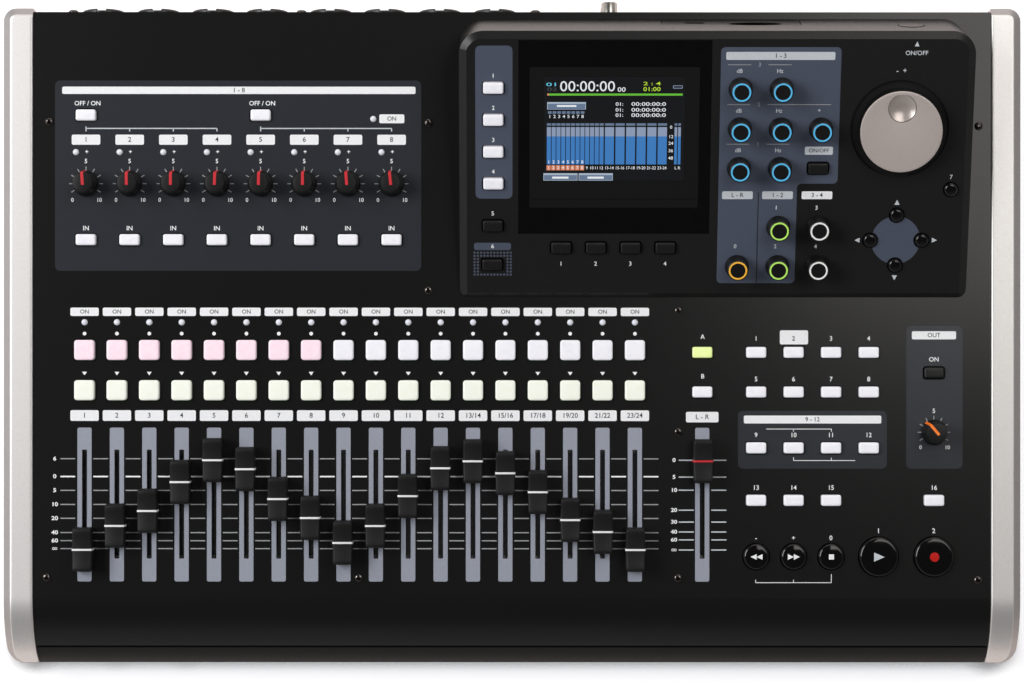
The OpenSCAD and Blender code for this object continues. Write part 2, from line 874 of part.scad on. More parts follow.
module trim_at(u, v, turn) {
    color(black) on_panel() translate([u, v, 0]) rotate(turn) {
        turned_knob(trim_d, trim_d - 2.4, trim_h);
        pointer(trim_d / 2 - 1, trim_h);
        shaft(board_level, trim_h - 2.8);
    }
}

module encoder_at(place) {
    color(black) on_screen() translate([place[0], place[1], 0]) {
        turned_knob(encoder_d, encoder_d - 1.6, encoder_h);
        shaft(screen_board_level, encoder_h - 2.8);
    }
}

module jog_wheel() {
    dimple_d = 14.3;
    dimple_depth = 1.8;
    dimple_r = (dimple_d * dimple_d / 4 + dimple_depth * dimple_depth) / (2 * dimple_depth);
    color(silver) on_screen() translate([jog_at[0], jog_at[1], 0]) {
        difference() {
            rotate_extrude() difference() {
                polygon([
                    [0, knob_gap - jog_recess],
                    [jog_d / 2, knob_gap - jog_recess],
                    [jog_d / 2, jog_h - 1.2],
                    [jog_d / 2 - 1.2, jog_h],
                    [0, jog_h]
                ]);
                translate([-1, -jog_recess]) square([jog_d / 2 - 1.5, jog_recess + 3]);
                translate([-1, 0]) square([shaft_d / 2 + 1.05, jog_h - 2.5]);
            }
            translate([0, jog_dimple, jog_h - dimple_depth + dimple_r]) sphere(r = dimple_r, $fn = 96);
        }
        shaft(screen_board_level, jog_h - 2.8);
    }
}

// Keys

// A key cap with its retaining flange under the panel and its stem over the board
module bar_cap(size, r, wall, level) {
    slab(size, r, -wall - flange_gap - flange_t, key_rise);
    block([size[0] + 2 * flange_rim, size[1] + 2 * flange_rim], -wall - flange_gap - flange_t, -wall - flange_gap);
    block([4, 3], -level + key_travel + 0.5, -wall - flange_gap);
}

module round_cap(d, wall, level, rise) {
    rotate_extrude() polygon([
        [0, -level + key_travel + 0.5],
        [2, -level + key_travel + 0.5],
        [2, -wall - flange_gap - flange_t],
        [d / 2 + flange_rim, -wall - flange_gap - flange_t],
        [d / 2 + flange_rim, -wall - flange_gap],
        [d / 2, -wall - flange_gap],
        [d / 2, rise - 0.8],
        [d / 2 - 0.8, rise],
        [0, rise]
    ]);
}

module channel_keys(v) {
    on_panel() at([for (u = column_u) [u, v]])
        bar_cap([square_key, square_key], 1.5, sheet, board_level);
}

module rec_keys() {
    color(white) channel_keys(rec_v);
}

module select_keys() {
    color(white) channel_keys(select_v);
}

module panel_keys() {
    color(white) on_panel() at(panel_key_places) bar_cap(bar_key, 1, sheet, board_level);
}

module screen_keys() {
    color(white) on_screen() {
        at(screen_bar_places) bar_cap(bar_key, 1, housing_wall, screen_board_level);
        at(cursor_places) round_cap(cursor_d, housing_wall, screen_board_level, key_rise);
    }
}

module transport_keys() {
    color(black) on_panel() {
        at([for (u = [key_u[0], key_u[1], key_u[2]]) [u, transport_v]])
            round_cap(small_round, sheet, board_level, key_rise + 0.6);
        at([for (u = large_u) [u, transport_v]])
            round_cap(large_round, sheet, board_level, key_rise + 1.2);
    }
}

module standby_button() {
    color(black) on_rear_slope(standby_at[0], standby_at[1])
        round_cap(standby_d, housing_wall, housing_wall + 8, 1.6);
}

top_panel();
bottom_tray();
left_cheek();
right_cheek();
display_housing();
display_window();
lcd_module();
circuit_boards();
control_bodies();
jacks();
indicator_lenses();
screws();
feet();
for (i = [0:channels - 1])
    fader_at(column_u[i], fader_rest[i]);
fader_at(master_u, master_rest);  // master_fader
for (i = [0:len(trim_turn) - 1])
    trim_at(input_u[i], trim_v, trim_turn[i]);
trim_at(monitor_u, monitor_knob_v, monitor_turn);  // monitor_knob
for (i = [0:len(encoder_places) - 1])
    encoder_at(encoder_places[i]);
jog_wheel();
rec_keys();
select_keys();
panel_keys();
screen_keys();
transport_keys();
standby_button();
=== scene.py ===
"""Looks of a desktop digital multitrack recorder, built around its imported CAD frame."""

from math import atan2, cos, degrees, hypot, pi, radians, sin, sqrt, tan

import bmesh
import bpy
from mathutils import Matrix, Vector
from mathutils.geometry import delaunay_2d_cdt


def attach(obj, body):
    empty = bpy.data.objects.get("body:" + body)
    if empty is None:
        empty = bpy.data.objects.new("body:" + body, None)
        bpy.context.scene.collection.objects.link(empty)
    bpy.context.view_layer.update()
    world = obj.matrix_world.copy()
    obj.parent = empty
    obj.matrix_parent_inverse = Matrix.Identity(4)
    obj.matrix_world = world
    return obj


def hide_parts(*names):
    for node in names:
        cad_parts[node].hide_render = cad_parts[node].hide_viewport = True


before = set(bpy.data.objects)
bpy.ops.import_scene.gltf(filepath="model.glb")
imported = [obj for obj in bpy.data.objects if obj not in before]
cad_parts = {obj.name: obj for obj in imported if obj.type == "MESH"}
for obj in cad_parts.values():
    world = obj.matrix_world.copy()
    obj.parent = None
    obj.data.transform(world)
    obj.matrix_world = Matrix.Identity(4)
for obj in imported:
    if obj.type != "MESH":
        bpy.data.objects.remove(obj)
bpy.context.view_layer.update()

# Frames of the CAD source, with sizes in mm and objects in metres

MM = 0.001
SPREAD = 483.9 / 486
PANEL_AT = (0, -7.8, 54.8)
PANEL_SLOPE = 4
PANEL_REAR = 167.2
SCREEN_AT = (0, 25.3, 3)
SCREEN_TILT = 16
HOUSING_REAR = 163.8
SLOPE_LEAN = 14.83
REAR_FACE = 157.296
FRONT_FACE = -167.84


def shifted(x, y, z):
    return Matrix.Translation((x, y, z))


def turned(angle, axis):
    return Matrix.Rotation(radians(angle), 4, axis)


WHOLE = Matrix.Scale(MM, 4)
WORLD = WHOLE @ Matrix.Scale(SPREAD, 4, (1, 0, 0))
PANEL = WORLD @ shifted(*PANEL_AT) @ turned(PANEL_SLOPE, "X")
SCREEN = PANEL @ shifted(*SCREEN_AT) @ turned(SCREEN_TILT, "X")


def on_rear(u, z):
    """Local Z points out of the rear wall, and local Y down it."""
    return WORLD @ shifted(u, REAR_FACE, z) @ turned(-90, "X")


def on_front(u, z):
    """Local Z points out of the front wall, and local Y up it."""
    return WORLD @ shifted(u, FRONT_FACE, z) @ turned(90, "X")


def on_rear_slope(u, w):
    """Local Z leaves the rear slope of the display housing at a height over the panel."""
    v = HOUSING_REAR - w * tan(radians(SLOPE_LEAN))
    return PANEL @ shifted(u, v, w) @ turned(SLOPE_LEAN - 90, "X")


# Places on the main panel, as in the CAD source

COLUMNS = [-216.8 + 16.42 * i for i in range(18)]
MASTER = 96.5
FADER_MID = -81.3
FADER_TRAVEL = 45
FADER_REST = [0, 12, 19.5, 34, 45, 40.5, 25.5, 16, 3.5, 12, 27, 41, 44.5, 38.5, 29, 15, 9, 0]
MASTER_REST = 44.5
SLOT = (2.2, 55)
REC_V = -3.5
SELECT_V = -23.8
MUTE_LED_V = 10.5
INPUTS = [-216.1 + 22.14 * i for i in range(8)]
TRIM_V = 80.5
TRIM_TURN = [4, 1, -1, -2, -1, 0, 4, 6]
SOURCE_V = 52.2
OVERLOAD_LED = (-5.1, 96.4)
PHANTOM = [(-216.1, 115.1), (-127.5, 115.1)]
GUITAR_LED = (-70.4, 113.2)
KEY_COLUMNS = [123.8, 142.8, 161.8, 180.9]
KEY_ROWS = [-4.6, -24.6, -52.8]
PUNCH_V = -79.3
MONITOR_U = 214
MONITOR_KEY_V = -14.9
MONITOR_KNOB_V = -44.9
MONITOR_TURN = 40
TRANSPORT_V = -107.7
LARGE_KEYS = [185.9, 213.9]
SCREWS = [
    (-234.8, 111.7), (-42.4, 111.2), (-42.4, 26.6), (-236, -118.4), (-77.7, -118.5),
    (84.2, -118.6), (84.4, 16.5), (84.3, -44.8), (236.3, -119.5), (236.6, 109.7),
]
REAR_SCREWS = [-223.1, -107.1, 11.8]
REAR_SCREW_DROP = 4.8

# Places on the sloping face of the display housing

TONE_COLUMNS = [113.4, 133.8, 153.8]
TONE_ROWS = [104.5, 84.4, 64.4]
SEND_ROWS = [34.3, 14.1]
ENCODERS = [(u, s) for s in TONE_ROWS for u in TONE_COLUMNS[:2]]
ENCODERS += [(TONE_COLUMNS[2], TONE_ROWS[1]), (TONE_COLUMNS[0], SEND_ROWS[1])]
ENCODERS += [(u, s) for s in SEND_ROWS for u in TONE_COLUMNS[1:]]
JOG = (193.1, 84.4)
JOG_DIMPLE = 11.9
CURSOR = (193.2, 27.5)
CURSOR_REACH = 13
QUARTERS = (0, 90, 180, 270)
JOG_PLAY = (219.8, 53.6)
SIDE_KEYS = [(-9.4, 56.6 + 16.15 * i) for i in range(4)]
MENU_KEY = (-9.7, 35)
HOME_KEY = (-10, 15)
SOFT_KEYS = [(24.7 + 17.5 * i, 23.7) for i in range(4)]
TONE_KEY = (153, 64.4)
LENS_TOP = 0.15

# Sizes of the keys and of the gaps round them

SQUARE_KEY = (10.15, 10.15)
SQUARE_CORNER = 1.5
BAR_KEY = (10.05, 5.55)
BAR_CORNER = 1
KEY_RISE = 2.2
KEY_FOOT = -2.6
INK_GAP = 0.7
SMALL_ROUND = 13.2
LARGE_ROUND = 20
CURSOR_ROUND = 7
LED_HOLE = 3.4
BUSH_HOLE = 8.4

# Heights of the ink layers over the surface that carries them

FIELD = 0.03
PLATE = 0.05
MARK = 0.07
OVER_MARK = 0.08

# Corners of the printed fields and labels, widths of the lines, and weights of the numbers

FIELD_CORNER = 2.5
PLATE_CORNER = 0.8
SLIM_CORNER = 0.7
THIN_LINE = 0.34
STEM_LINE = 0.56
MARK_WEIGHT = 0.012
PLATE_WEIGHT = 0.01
SCALE_WEIGHT = 0.03
SCALE_SQUEEZE = 1.2

# Angles in degrees past which an edge stays sharp, and the gap in mm that closes as one point

EDGE_CREASE = 32
SOCKET_CREASE = 35
CAP_CREASE = 40
KEY_CREASE = 50
SEAM_GAP = 1e-4

# Finishes


def srgb(red, green, blue):
    """A colour as a photograph holds it, from 0 to 255, as the linear colour that a shader takes."""

    def linear(value):
        share = value / 255
        return share / 12.92 if share <= 0.04045 else ((share + 0.055) / 1.055) ** 2.4

    return (linear(red), linear(green), linear(blue), 1)


def new_finish(name):
    """A node material with its tree and its shader."""
    material = bpy.data.materials.new(name)
    material.use_nodes = True
    tree = material.node_tree
    return material, tree, tree.nodes["Principled BSDF"]


def colour_mix(tree, share, first, second):
    """A mix of two colours by a share, which is another node's output."""
    mix = tree.nodes.new("ShaderNodeMix")
    mix.data_type = "RGBA"
    mix.inputs[6].default_value = first
    mix.inputs[7].default_value = second
    tree.links.new(share, mix.inputs[0])
    return mix.outputs[2]


GRAIN_DETAIL = 3
GRAIN_LOW = 0.32
GRAIN_HIGH = 0.68
LEAST_ROUGHNESS = 0.02
RELIEF_SHARE = 0.1


def grained(name, dark, light, grain, rough, metal=0.0, relief=0.0, spread=0.06, glow=0.0, spec=0.5):
    """A finish whose colour, roughness and relief follow one fine grain, its size in mm."""
    material, tree, shader = new_finish(name)
    nodes = tree.nodes
    links = tree.links
    shader.inputs["Metallic"].default_value = metal
    shader.inputs["Specular IOR Level"].default_value = spec
    place = nodes.new("ShaderNodeTexCoord")
    noise = nodes.new("ShaderNodeTexNoise")
    noise.inputs["Scale"].default_value = 1 / (grain * MM)
    noise.inputs["Detail"].default_value = GRAIN_DETAIL
    links.new(place.outputs["Object"], noise.inputs["Vector"])
    share = nodes.new("ShaderNodeMapRange")
    share.inputs["From Min"].default_value = GRAIN_LOW
    share.inputs["From Max"].default_value = GRAIN_HIGH
    links.new(noise.outputs[0], share.inputs["Value"])
    tint = colour_mix(tree, share.outputs["Result"], dark, light)
    links.new(tint, shader.inputs["Base Color"])
    sheen = nodes.new("ShaderNodeMapRange")
    sheen.inputs["To Min"].default_value = rough + spread
    sheen.inputs["To Max"].default_value = max(rough - spread, LEAST_ROUGHNESS)
    links.new(noise.outputs[0], sheen.inputs["Value"])
    links.new(sheen.outputs["Result"], shader.inputs["Roughness"])
    if relief:
        bump = nodes.new("ShaderNodeBump")
        bump.inputs["Strength"].default_value = relief
        bump.inputs["Distance"].default_value = RELIEF_SHARE * grain * MM
        links.new(noise.outputs[0], bump.inputs["Height"])
        links.new(bump.outputs["Normal"], shader.inputs["Normal"])
    # A glow is painted light: the tint shines on its own, though the part is no lamp
    if glow:
        links.new(tint, shader.inputs["Emission Color"])
        shader.inputs["Emission Strength"].default_value = glow
    return material


def lit_dots(name, colour, level=1.0):
    """A patch of the lit colour screen, with a darker gap between its columns of picture dots."""
    dot = 0.224
    gap_level = 0.86
    # Radians that a wave texture turns along one metre at scale 1
    wave_rate = 20
    material, tree, shader = new_finish(name)
    shader.inputs["Base Color"].default_value = srgb(6, 6, 7)
    shader.inputs["Roughness"].default_value = 0.18
    shader.inputs["Emission Strength"].default_value = level
    place = tree.nodes.new("ShaderNodeTexCoord")
    columns = tree.nodes.new("ShaderNodeTexWave")
    columns.bands_direction = "X"
    columns.inputs["Scale"].default_value = 2 * pi / (wave_rate * dot * MM)
    tree.links.new(place.outputs["Object"], columns.inputs["Vector"])
    gap_colour = tuple(gap_level * c for c in colour[:3]) + (1,)
    tint = colour_mix(tree, columns.outputs["Fac"], gap_colour, colour)
    tree.links.new(tint, shader.inputs["Emission Color"])
    return material


panel_paint = grained("panel_paint", srgb(14, 14, 14), srgb(22, 22, 22), 0.34, 0.22, relief=0.05, spread=0.03)
tray_paint = grained("tray_paint", srgb(14, 14, 15), srgb(23, 23, 24), 0.4, 0.46, relief=0.16, spec=0.12)
housing_plastic = grained(
    "housing_plastic", srgb(25, 25, 25), srgb(33, 33, 33), 0.28, 0.28, relief=0.06, spec=0.32)
lens_acrylic = grained("lens_acrylic", srgb(4, 4, 4), srgb(6, 6, 6), 4, 0.05, spread=0.02)
silver_paint = grained(
    "silver_paint", srgb(229, 226, 224), srgb(246, 244, 242), 0.4, 0.45, metal=0.82, relief=0.04)
# A darker copy of the silver paint for the cheeks' outer bevel: painted shade on the bevel
silver_bevel_painted_shade = grained(
    "silver_bevel_painted_shade", srgb(178, 175, 174), srgb(196, 193, 192), 0.4, 0.42, metal=0.9, relief=0.04)
jog_satin = grained("jog_satin", srgb(192, 181, 176), srgb(208, 198, 193), 0.3, 0.42, metal=0.35, relief=0.04)
dimple_satin = grained(
    "dimple_satin", srgb(194, 184, 178), srgb(200, 190, 184), 0.3, 0.3, metal=0.55, spread=0.02)
cap_black = grained("cap_black", srgb(22, 22, 23), srgb(30, 30, 31), 0.25, 0.45, relief=0.1, spec=0.2)
knob_black = grained("knob_black", srgb(10, 10, 11), srgb(16, 16, 17), 0.25, 0.42, relief=0.1, spec=0.32)
button_gloss = grained("button_gloss", srgb(6, 6, 6), srgb(9, 9, 9), 3, 0.07, spread=0.02)
key_black = grained("key_black", srgb(17, 17, 17), srgb(23, 23, 23), 0.3, 0.4, relief=0.1, spec=0.35)
# The keys and the indicator lenses get a small painted glow that brightens them beyond what the lamps give
key_white = grained("key_white", srgb(236, 236, 244), srgb(246, 246, 252), 2.5, 0.35, glow=0.14)
key_pink = grained("key_pink", srgb(248, 222, 234), srgb(253, 230, 240), 2.5, 0.35, glow=0.16)
key_cream = grained("key_cream", srgb(240, 244, 232), srgb(248, 251, 240), 2.5, 0.35, glow=0.14)
key_green = grained("key_green", srgb(230, 248, 160), srgb(238, 252, 178), 2.5, 0.35, glow=0.2)
led_milky = grained("led_milky", srgb(218, 220, 230), srgb(234, 236, 244), 1.2, 0.25, spread=0.04, glow=0.12)
white_ink = grained("white_ink", srgb(244, 246, 251), srgb(253, 254, 255), 0.5, 0.5)
pale_ink = grained("pale_ink", srgb(196, 202, 209), srgb(210, 216, 222), 0.5, 0.5)
grey_ink = grained("grey_ink", srgb(150, 152, 156), srgb(166, 168, 172), 0.5, 0.5)
dark_ink = grained("dark_ink", srgb(24, 25, 29), srgb(34, 35, 39), 0.5, 0.5)
input_ink = grained("input_ink", srgb(39, 42, 48), srgb(47, 50, 57), 0.32, 0.26, relief=0.05, spread=0.03)
slate_ink = grained("slate_ink", srgb(73, 80, 96), srgb(83, 90, 107), 0.32, 0.3, relief=0.05, spread=0.03)
strip_ink = grained("strip_ink", srgb(148, 153, 166), srgb(160, 165, 179), 0.4, 0.4)
line_white = grained("line_white", srgb(240, 240, 242), srgb(250, 250, 252), 0.6, 0.4)
line_red = grained("line_red", srgb(196, 30, 40), srgb(216, 44, 52), 0.6, 0.4)
pointer_red = grained("pointer_red", srgb(196, 36, 48), srgb(216, 52, 60), 0.6, 0.36)
pointer_orange = grained("pointer_orange", srgb(248, 116, 28), srgb(255, 136, 44), 0.6, 0.36)
# The coloured encoder rings get a small painted glow as well
ring_blue = grained("ring_blue", srgb(82, 180, 232), srgb(98, 198, 246), 0.6, 0.3, glow=0.1)
ring_orange = grained("ring_orange", srgb(244, 178, 52), srgb(255, 196, 70), 0.6, 0.3, glow=0.1)
ring_green = grained("ring_green", srgb(178, 236, 98), srgb(196, 248, 118), 0.6, 0.3, glow=0.1)
ring_white = grained("ring_white", srgb(236, 236, 236), srgb(248, 248, 248), 0.6, 0.3, glow=0.1)
dot_red = grained("dot_red", srgb(184, 14, 8), srgb(200, 22, 14), 0.6, 0.3)
screw_black = grained("screw_black", srgb(74, 70, 68), srgb(108, 102, 99), 0.6, 0.1, metal=1.0)
nickel = grained("nickel", srgb(188, 184, 178), srgb(214, 210, 204), 1.0, 0.22, metal=1.0)
gilt = grained("gilt", srgb(196, 160, 84), srgb(218, 184, 108), 1.0, 0.25, metal=1.0)
jack_black = grained("jack_black", srgb(20, 20, 21), srgb(30, 30, 31), 0.3, 0.4, relief=0.1)
# Near black for the insides of holes, and for painted shade on the nose seam and in the card notch
hole_and_shade_black = grained("hole_and_shade_black", srgb(4, 4, 4), srgb(7, 7, 7), 1, 0.8, spec=0.03)
phono_white = grained("phono_white", srgb(226, 224, 218), srgb(238, 236, 230), 1, 0.4)
phono_red = grained("phono_red", srgb(170, 24, 26), srgb(188, 34, 34), 1, 0.4)
rubber = grained("rubber", srgb(20, 20, 20), srgb(30, 30, 30), 0.5, 0.75, relief=0.2)
board_green = grained("board_green", srgb(14, 60, 38), srgb(24, 84, 54), 1.2, 0.4)
plated_steel = grained("plated_steel", srgb(120, 120, 122), srgb(150, 150, 152), 0.8, 0.34, metal=1.0)

CAD_FINISHES = {
    "top_panel": panel_paint,
    "bottom_tray": tray_paint,
    "display_housing": housing_plastic,
    "display_window": lens_acrylic,
    "lcd_module": plated_steel,
    "circuit_boards": board_green,
    "control_bodies": plated_steel,
    "feet": rubber,
}
for node, finish in CAD_FINISHES.items():
    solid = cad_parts[node]
    solid.data.materials.clear()
    solid.data.materials.append(finish)

# Shapes


def rounded(width, length, radius, steps=4, at=(0, 0)):
    """Corner points of a rounded rectangle, counter-clockwise."""
    points = []
    for corner, (sx, sy) in enumerate([(1, 1), (-1, 1), (-1, -1), (1, -1)]):
        for step in range(steps + 1):
            angle = pi / 2 * (corner + step / steps)
            x = at[0] + sx * (width / 2 - radius) + radius * cos(angle)
            y = at[1] + sy * (length / 2 - radius) + radius * sin(angle)
            points.append((x, y))
    return points


def span(u0, u1, v0, v1, radius, steps=4):
    """A rounded rectangle from its edges."""
    return rounded(abs(u1 - u0), abs(v1 - v0), radius, steps, ((u0 + u1) / 2, (v0 + v1) / 2))


def eased(corners, radius, steps=4):
    """An outline of right angles with each corner rounded, inner corners too."""
    points = []
    for i, corner in enumerate(corners):
        here = Vector(corner)
        back = (Vector(corners[i - 1]) - here).normalized()
        ahead = (Vector(corners[(i + 1) % len(corners)]) - here).normalized()
        middle = here + radius * (back + ahead)
        for step in range(steps + 1):
            angle = pi / 2 * step / steps
            points.append(tuple(middle - radius * (cos(angle) * ahead + sin(angle) * back)))
    return points


def circle(at, radius, steps=24):
    angles = [2 * pi * i / steps for i in range(steps)]
    return [(at[0] + radius * cos(a), at[1] + radius * sin(a)) for a in angles]


def inside(point, loop):
    """Whether a point lies in a loop, from how many of its edges are to the point's right."""
    crossed = 0
    for (x0, y0), (x1, y1) in zip(loop, loop[1:] + loop[:1]):
        if (y0 > point[1]) != (y1 > point[1]):
            crossed += point[0] < x0 + (point[1] - y0) * (x1 - x0) / (y1 - y0)
    return crossed % 2 == 1


def filled(outline, holes):
    """Corner points and triangles of any flat outline, with holes left open in it."""
    points = []
    edges = []
    for loop in [outline] + holes:
        first = len(points)
        points += [Vector((x, y)) for x, y in loop]
        edges += [(first + i, first + (i + 1) % len(loop)) for i in range(len(loop))]
    within_outline = 1
    made = delaunay_2d_cdt(points, edges, [], within_outline, 1e-5)
    triangles = []
    for corners in made[2]:
        middle = sum((made[0][i] for i in corners), Vector((0, 0))) / 3
        if not any(inside(middle, hole) for hole in holes):
            triangles.append(corners)
    return made[0], triangles


def notched_disc(at, radius, reach, notch):
    """A disc with a round notch for each of four keys round it."""
    along = (radius ** 2 - notch ** 2 + reach ** 2) / (2 * reach)
    aside = sqrt(radius ** 2 - along ** 2)
    edge = degrees(atan2(aside, along))
    bite = degrees(atan2(aside, reach - along))
    points = []
    steps = 12
    for turn in QUARTERS:
        key = (at[0] + reach * cos(radians(turn)), at[1] + reach * sin(radians(turn)))
        for step in range(steps + 1):
            angle = radians(turn + 180 + bite - 2 * bite * step / steps)
            points.append((key[0] + notch * cos(angle), key[1] + notch * sin(angle)))
        for step in range(1, steps):
            angle = radians(turn + edge + (90 - 2 * edge) * step / steps)
            points.append((at[0] + radius * cos(angle), at[1] + radius * sin(angle)))
    return points


def skin(bm, rings, finish=0, foot=True, top=True):
    """Joins rings of points, each counter-clockwise, from the lowest to the highest."""
    rows = [[bm.verts.new(point) for point in ring] for ring in rings]
    for low, high in zip(rows, rows[1:]):
        for i in range(len(low)):
            j = (i + 1) % len(low)
            bm.faces.new((low[i], low[j], high[j], high[i])).material_index = finish
    if foot:
        bm.faces.new(rows[0][::-1]).material_index = finish
    if top:
        bm.faces.new(rows[-1]).material_index = finish


def lathe(bm, profile, at=(0, 0), segments=48, finish=0, flutes=0, depth=0, fluted=(0, 0)):
    """Turns a profile of (radius, height), foot first, and cuts flutes between two heights."""
    rows = []
    for radius, height in profile:
        if radius == 0:
            rows.append([bm.verts.new((at[0], at[1], height))])
            continue
        row = []
        for i in range(segments):
            angle = 2 * pi * i / segments
            cut = depth * (0.5 - 0.5 * cos(flutes * angle)) if fluted[0] <= height <= fluted[1] else 0
            reach = radius - cut
            row.append(bm.verts.new((at[0] + reach * cos(angle), at[1] + reach * sin(angle), height)))
        rows.append(row)
    for low, high in zip(rows, rows[1:]):
        for i in range(segments):
            j = (i + 1) % segments
            if len(low) == 1:
                corners = (low[0], high[j], high[i])
            elif len(high) == 1:
                corners = (low[i], low[j], high[0])
            else:
                corners = (low[i], low[j], high[j], high[i])
            bm.faces.new(corners).material_index = finish


def at_heights(outline, heights):
    """The same flat outline at several heights, as rings for a skin."""
    return [[(x, y, z) for x, y in outline] for z in heights]


def cover(bm, outline, hole, height):
    """A flat face with one hole in it."""
    points, triangles = filled(outline, [hole])
    corners = [bm.verts.new((x, y, height)) for x, y in points]
    for triangle in triangles:
        bm.faces.new([corners[i] for i in triangle])


def close_seams(bm):
    """Joins points that meet, and turns the faces of a closed shape outwards."""
    bmesh.ops.remove_doubles(bm, verts=bm.verts, dist=SEAM_GAP)
    bmesh.ops.recalc_face_normals(bm, faces=bm.faces)


def as_mesh(name, bm):
    """A plain mesh of a drawn shape, which is then let go."""
    mesh = bpy.data.meshes.new(name)
    bm.to_mesh(mesh)
    bm.free()
    return mesh


def put_in(name, mesh, body, crease):
    """Makes a piece of a mesh whose place is in it, and lets it ride on a body."""
    mesh.shade_smooth()
    mesh.set_sharp_from_angle(angle=radians(crease))
    piece = bpy.data.objects.new(name, mesh)
    bpy.context.scene.collection.objects.link(piece)
    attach(piece, body)
    return piece


def settle(name, bm, place, finishes, body, crease=EDGE_CREASE, closed=True):
    """Makes a piece of a shape drawn in mm, in a frame that gives its place."""
    if closed:
        close_seams(bm)
    bm.transform(place)
    mesh = as_mesh(name, bm)
    for finish in finishes:
        mesh.materials.append(finish)
    return put_in(name, mesh, body, crease)


GLYPHS = {}


def glyph_mesh(words, weight):
    """Words in the built-in font at size 1, centred, as a mesh."""
    if (words, weight) not in GLYPHS:
        curve = bpy.data.curves.new("words", "FONT")
        curve.body = words
        curve.align_x = "CENTER"
        curve.align_y = "CENTER"
        curve.offset = weight
        curve.resolution_u = 3
        holder = bpy.data.objects.new("words", curve)
        bpy.context.scene.collection.objects.link(holder)
        ready = holder.evaluated_get(bpy.context.evaluated_depsgraph_get())
        GLYPHS[words, weight] = bpy.data.meshes.new_from_object(ready)
        bpy.data.objects.remove(holder)
    return GLYPHS[words, weight]


class Print:
    """Ink on one surface: flat shapes in that surface's frame, joined into one piece."""

    def __init__(self, base=0.0):
        self.bm = bmesh.new()
        self.base = base
        self.finishes = []

    def slot(self, finish):
        if finish not in self.finishes:
            self.finishes.append(finish)
        return self.finishes.index(finish)

    def face(self, outline, finish, level=PLATE):
        """A convex outline, counter-clockwise."""
        corners = [self.bm.verts.new((x, y, self.base + level)) for x, y in outline]
        self.bm.faces.new(corners).material_index = self.slot(finish)

    def field(self, outline, holes, finish, level=FIELD):
        """Any outline, with holes left open in it."""
        points, triangles = filled(outline, holes)
        corners = [self.bm.verts.new((x, y, self.base + level)) for x, y in points]
        for triangle in triangles:
            self.bm.faces.new([corners[i] for i in triangle]).material_index = self.slot(finish)

    def line(self, start, end, width, finish, level=MARK):
        along = Vector(end) - Vector(start)
        side = Vector((-along.y, along.x)).normalized() * width / 2
        ends = [Vector(start) - side, Vector(end) - side, Vector(end) + side, Vector(start) + side]
        self.face([tuple(p) for p in ends], finish, level)

    def path(self, points, width, finish, level=MARK):
        for start, end in zip(points, points[1:]):
            self.line(start, end, width, finish, level)

    def ring(self, at, inner, outer, finish, level, steps):
        self.field(circle(at, outer, steps), [circle(at, inner, steps)], finish, level)

    def plate(self, words, at, size, text_size, finish=white_ink, corner=PLATE_CORNER):
        """A pale label with dark words in its middle."""
        self.face(rounded(size[0], size[1], corner, 4, at), finish)
        self.words(words, at, text_size, dark_ink, weight=PLATE_WEIGHT)

    def words(self, words, at, size, finish, level=MARK, weight=MARK_WEIGHT, squeeze=1.0):
        """Generic marks, such as numbers on a scale."""
        mesh = glyph_mesh(words, weight)
        start = len(self.bm.verts)
        first_face = len(self.bm.faces)
        self.bm.from_mesh(mesh)
        self.bm.verts.ensure_lookup_table()
        self.bm.faces.ensure_lookup_table()
        for vert in self.bm.verts[start:]:
            x, y, _ = vert.co
            vert.co = (at[0] + squeeze * size * x, at[1] + size * y, self.base + level)
        for face in self.bm.faces[first_face:]:
            face.material_index = self.slot(finish)
            face.normal_update()
            if face.normal.z < 0:
                face.normal_flip()

    def done(self, name, place, body="chassis"):
        return settle(name, self.bm, place, self.finishes, body, closed=False)


# Geometry node trees for what repeats


def new_tree(name, inputs):
    """An empty tree with named inputs, and the nodes at its two ends."""
    tree = bpy.data.node_groups.new(name, "GeometryNodeTree")
    tree.interface.new_socket("Geometry", in_out="INPUT", socket_type="NodeSocketGeometry")
    for title, kind in inputs:
        tree.interface.new_socket(title, in_out="INPUT", socket_type=kind)
    tree.interface.new_socket("Geometry", in_out="OUTPUT", socket_type="NodeSocketGeometry")
    start = tree.nodes.new("NodeGroupInput")
    end = tree.nodes.new("NodeGroupOutput")
    return tree, start, end


def close_tree(tree, start, end, instances):
    """Ends a tree in Realize Instances and Set Material."""
    solid = tree.nodes.new("GeometryNodeRealizeInstances")
    paint = tree.nodes.new("GeometryNodeSetMaterial")
    tree.links.new(instances, solid.inputs["Geometry"])
    tree.links.new(solid.outputs["Geometry"], paint.inputs["Geometry"])
    tree.links.new(start.outputs["Finish"], paint.inputs["Material"])
    tree.links.new(paint.outputs["Geometry"], end.inputs["Geometry"])


def math_node(tree, operation, *values):
    """A maths node whose inputs are sockets or plain numbers."""
    node = tree.nodes.new("ShaderNodeMath")
    node.operation = operation
    for socket, value in zip(node.inputs, values):
        if isinstance(value, (int, float)):
            socket.default_value = value
        else:
            tree.links.new(value, socket)
    return node.outputs[0]


def on_points(tree, points, instance):
    """A node that puts one shape on every point."""
    spread = tree.nodes.new("GeometryNodeInstanceOnPoints")
    tree.links.new(points, spread.inputs["Points"])
    tree.links.new(instance, spread.inputs["Instance"])
    return spread


def flat_bar(tree, width, length):
    """A flat bar, from the sockets that give its sizes."""
    bar = tree.nodes.new("GeometryNodeMeshGrid")
    bar.inputs["Vertices X"].default_value = 2
    bar.inputs["Vertices Y"].default_value = 2
    tree.links.new(width, bar.inputs["Size X"])
    tree.links.new(length, bar.inputs["Size Y"])
    return bar.outputs["Mesh"]


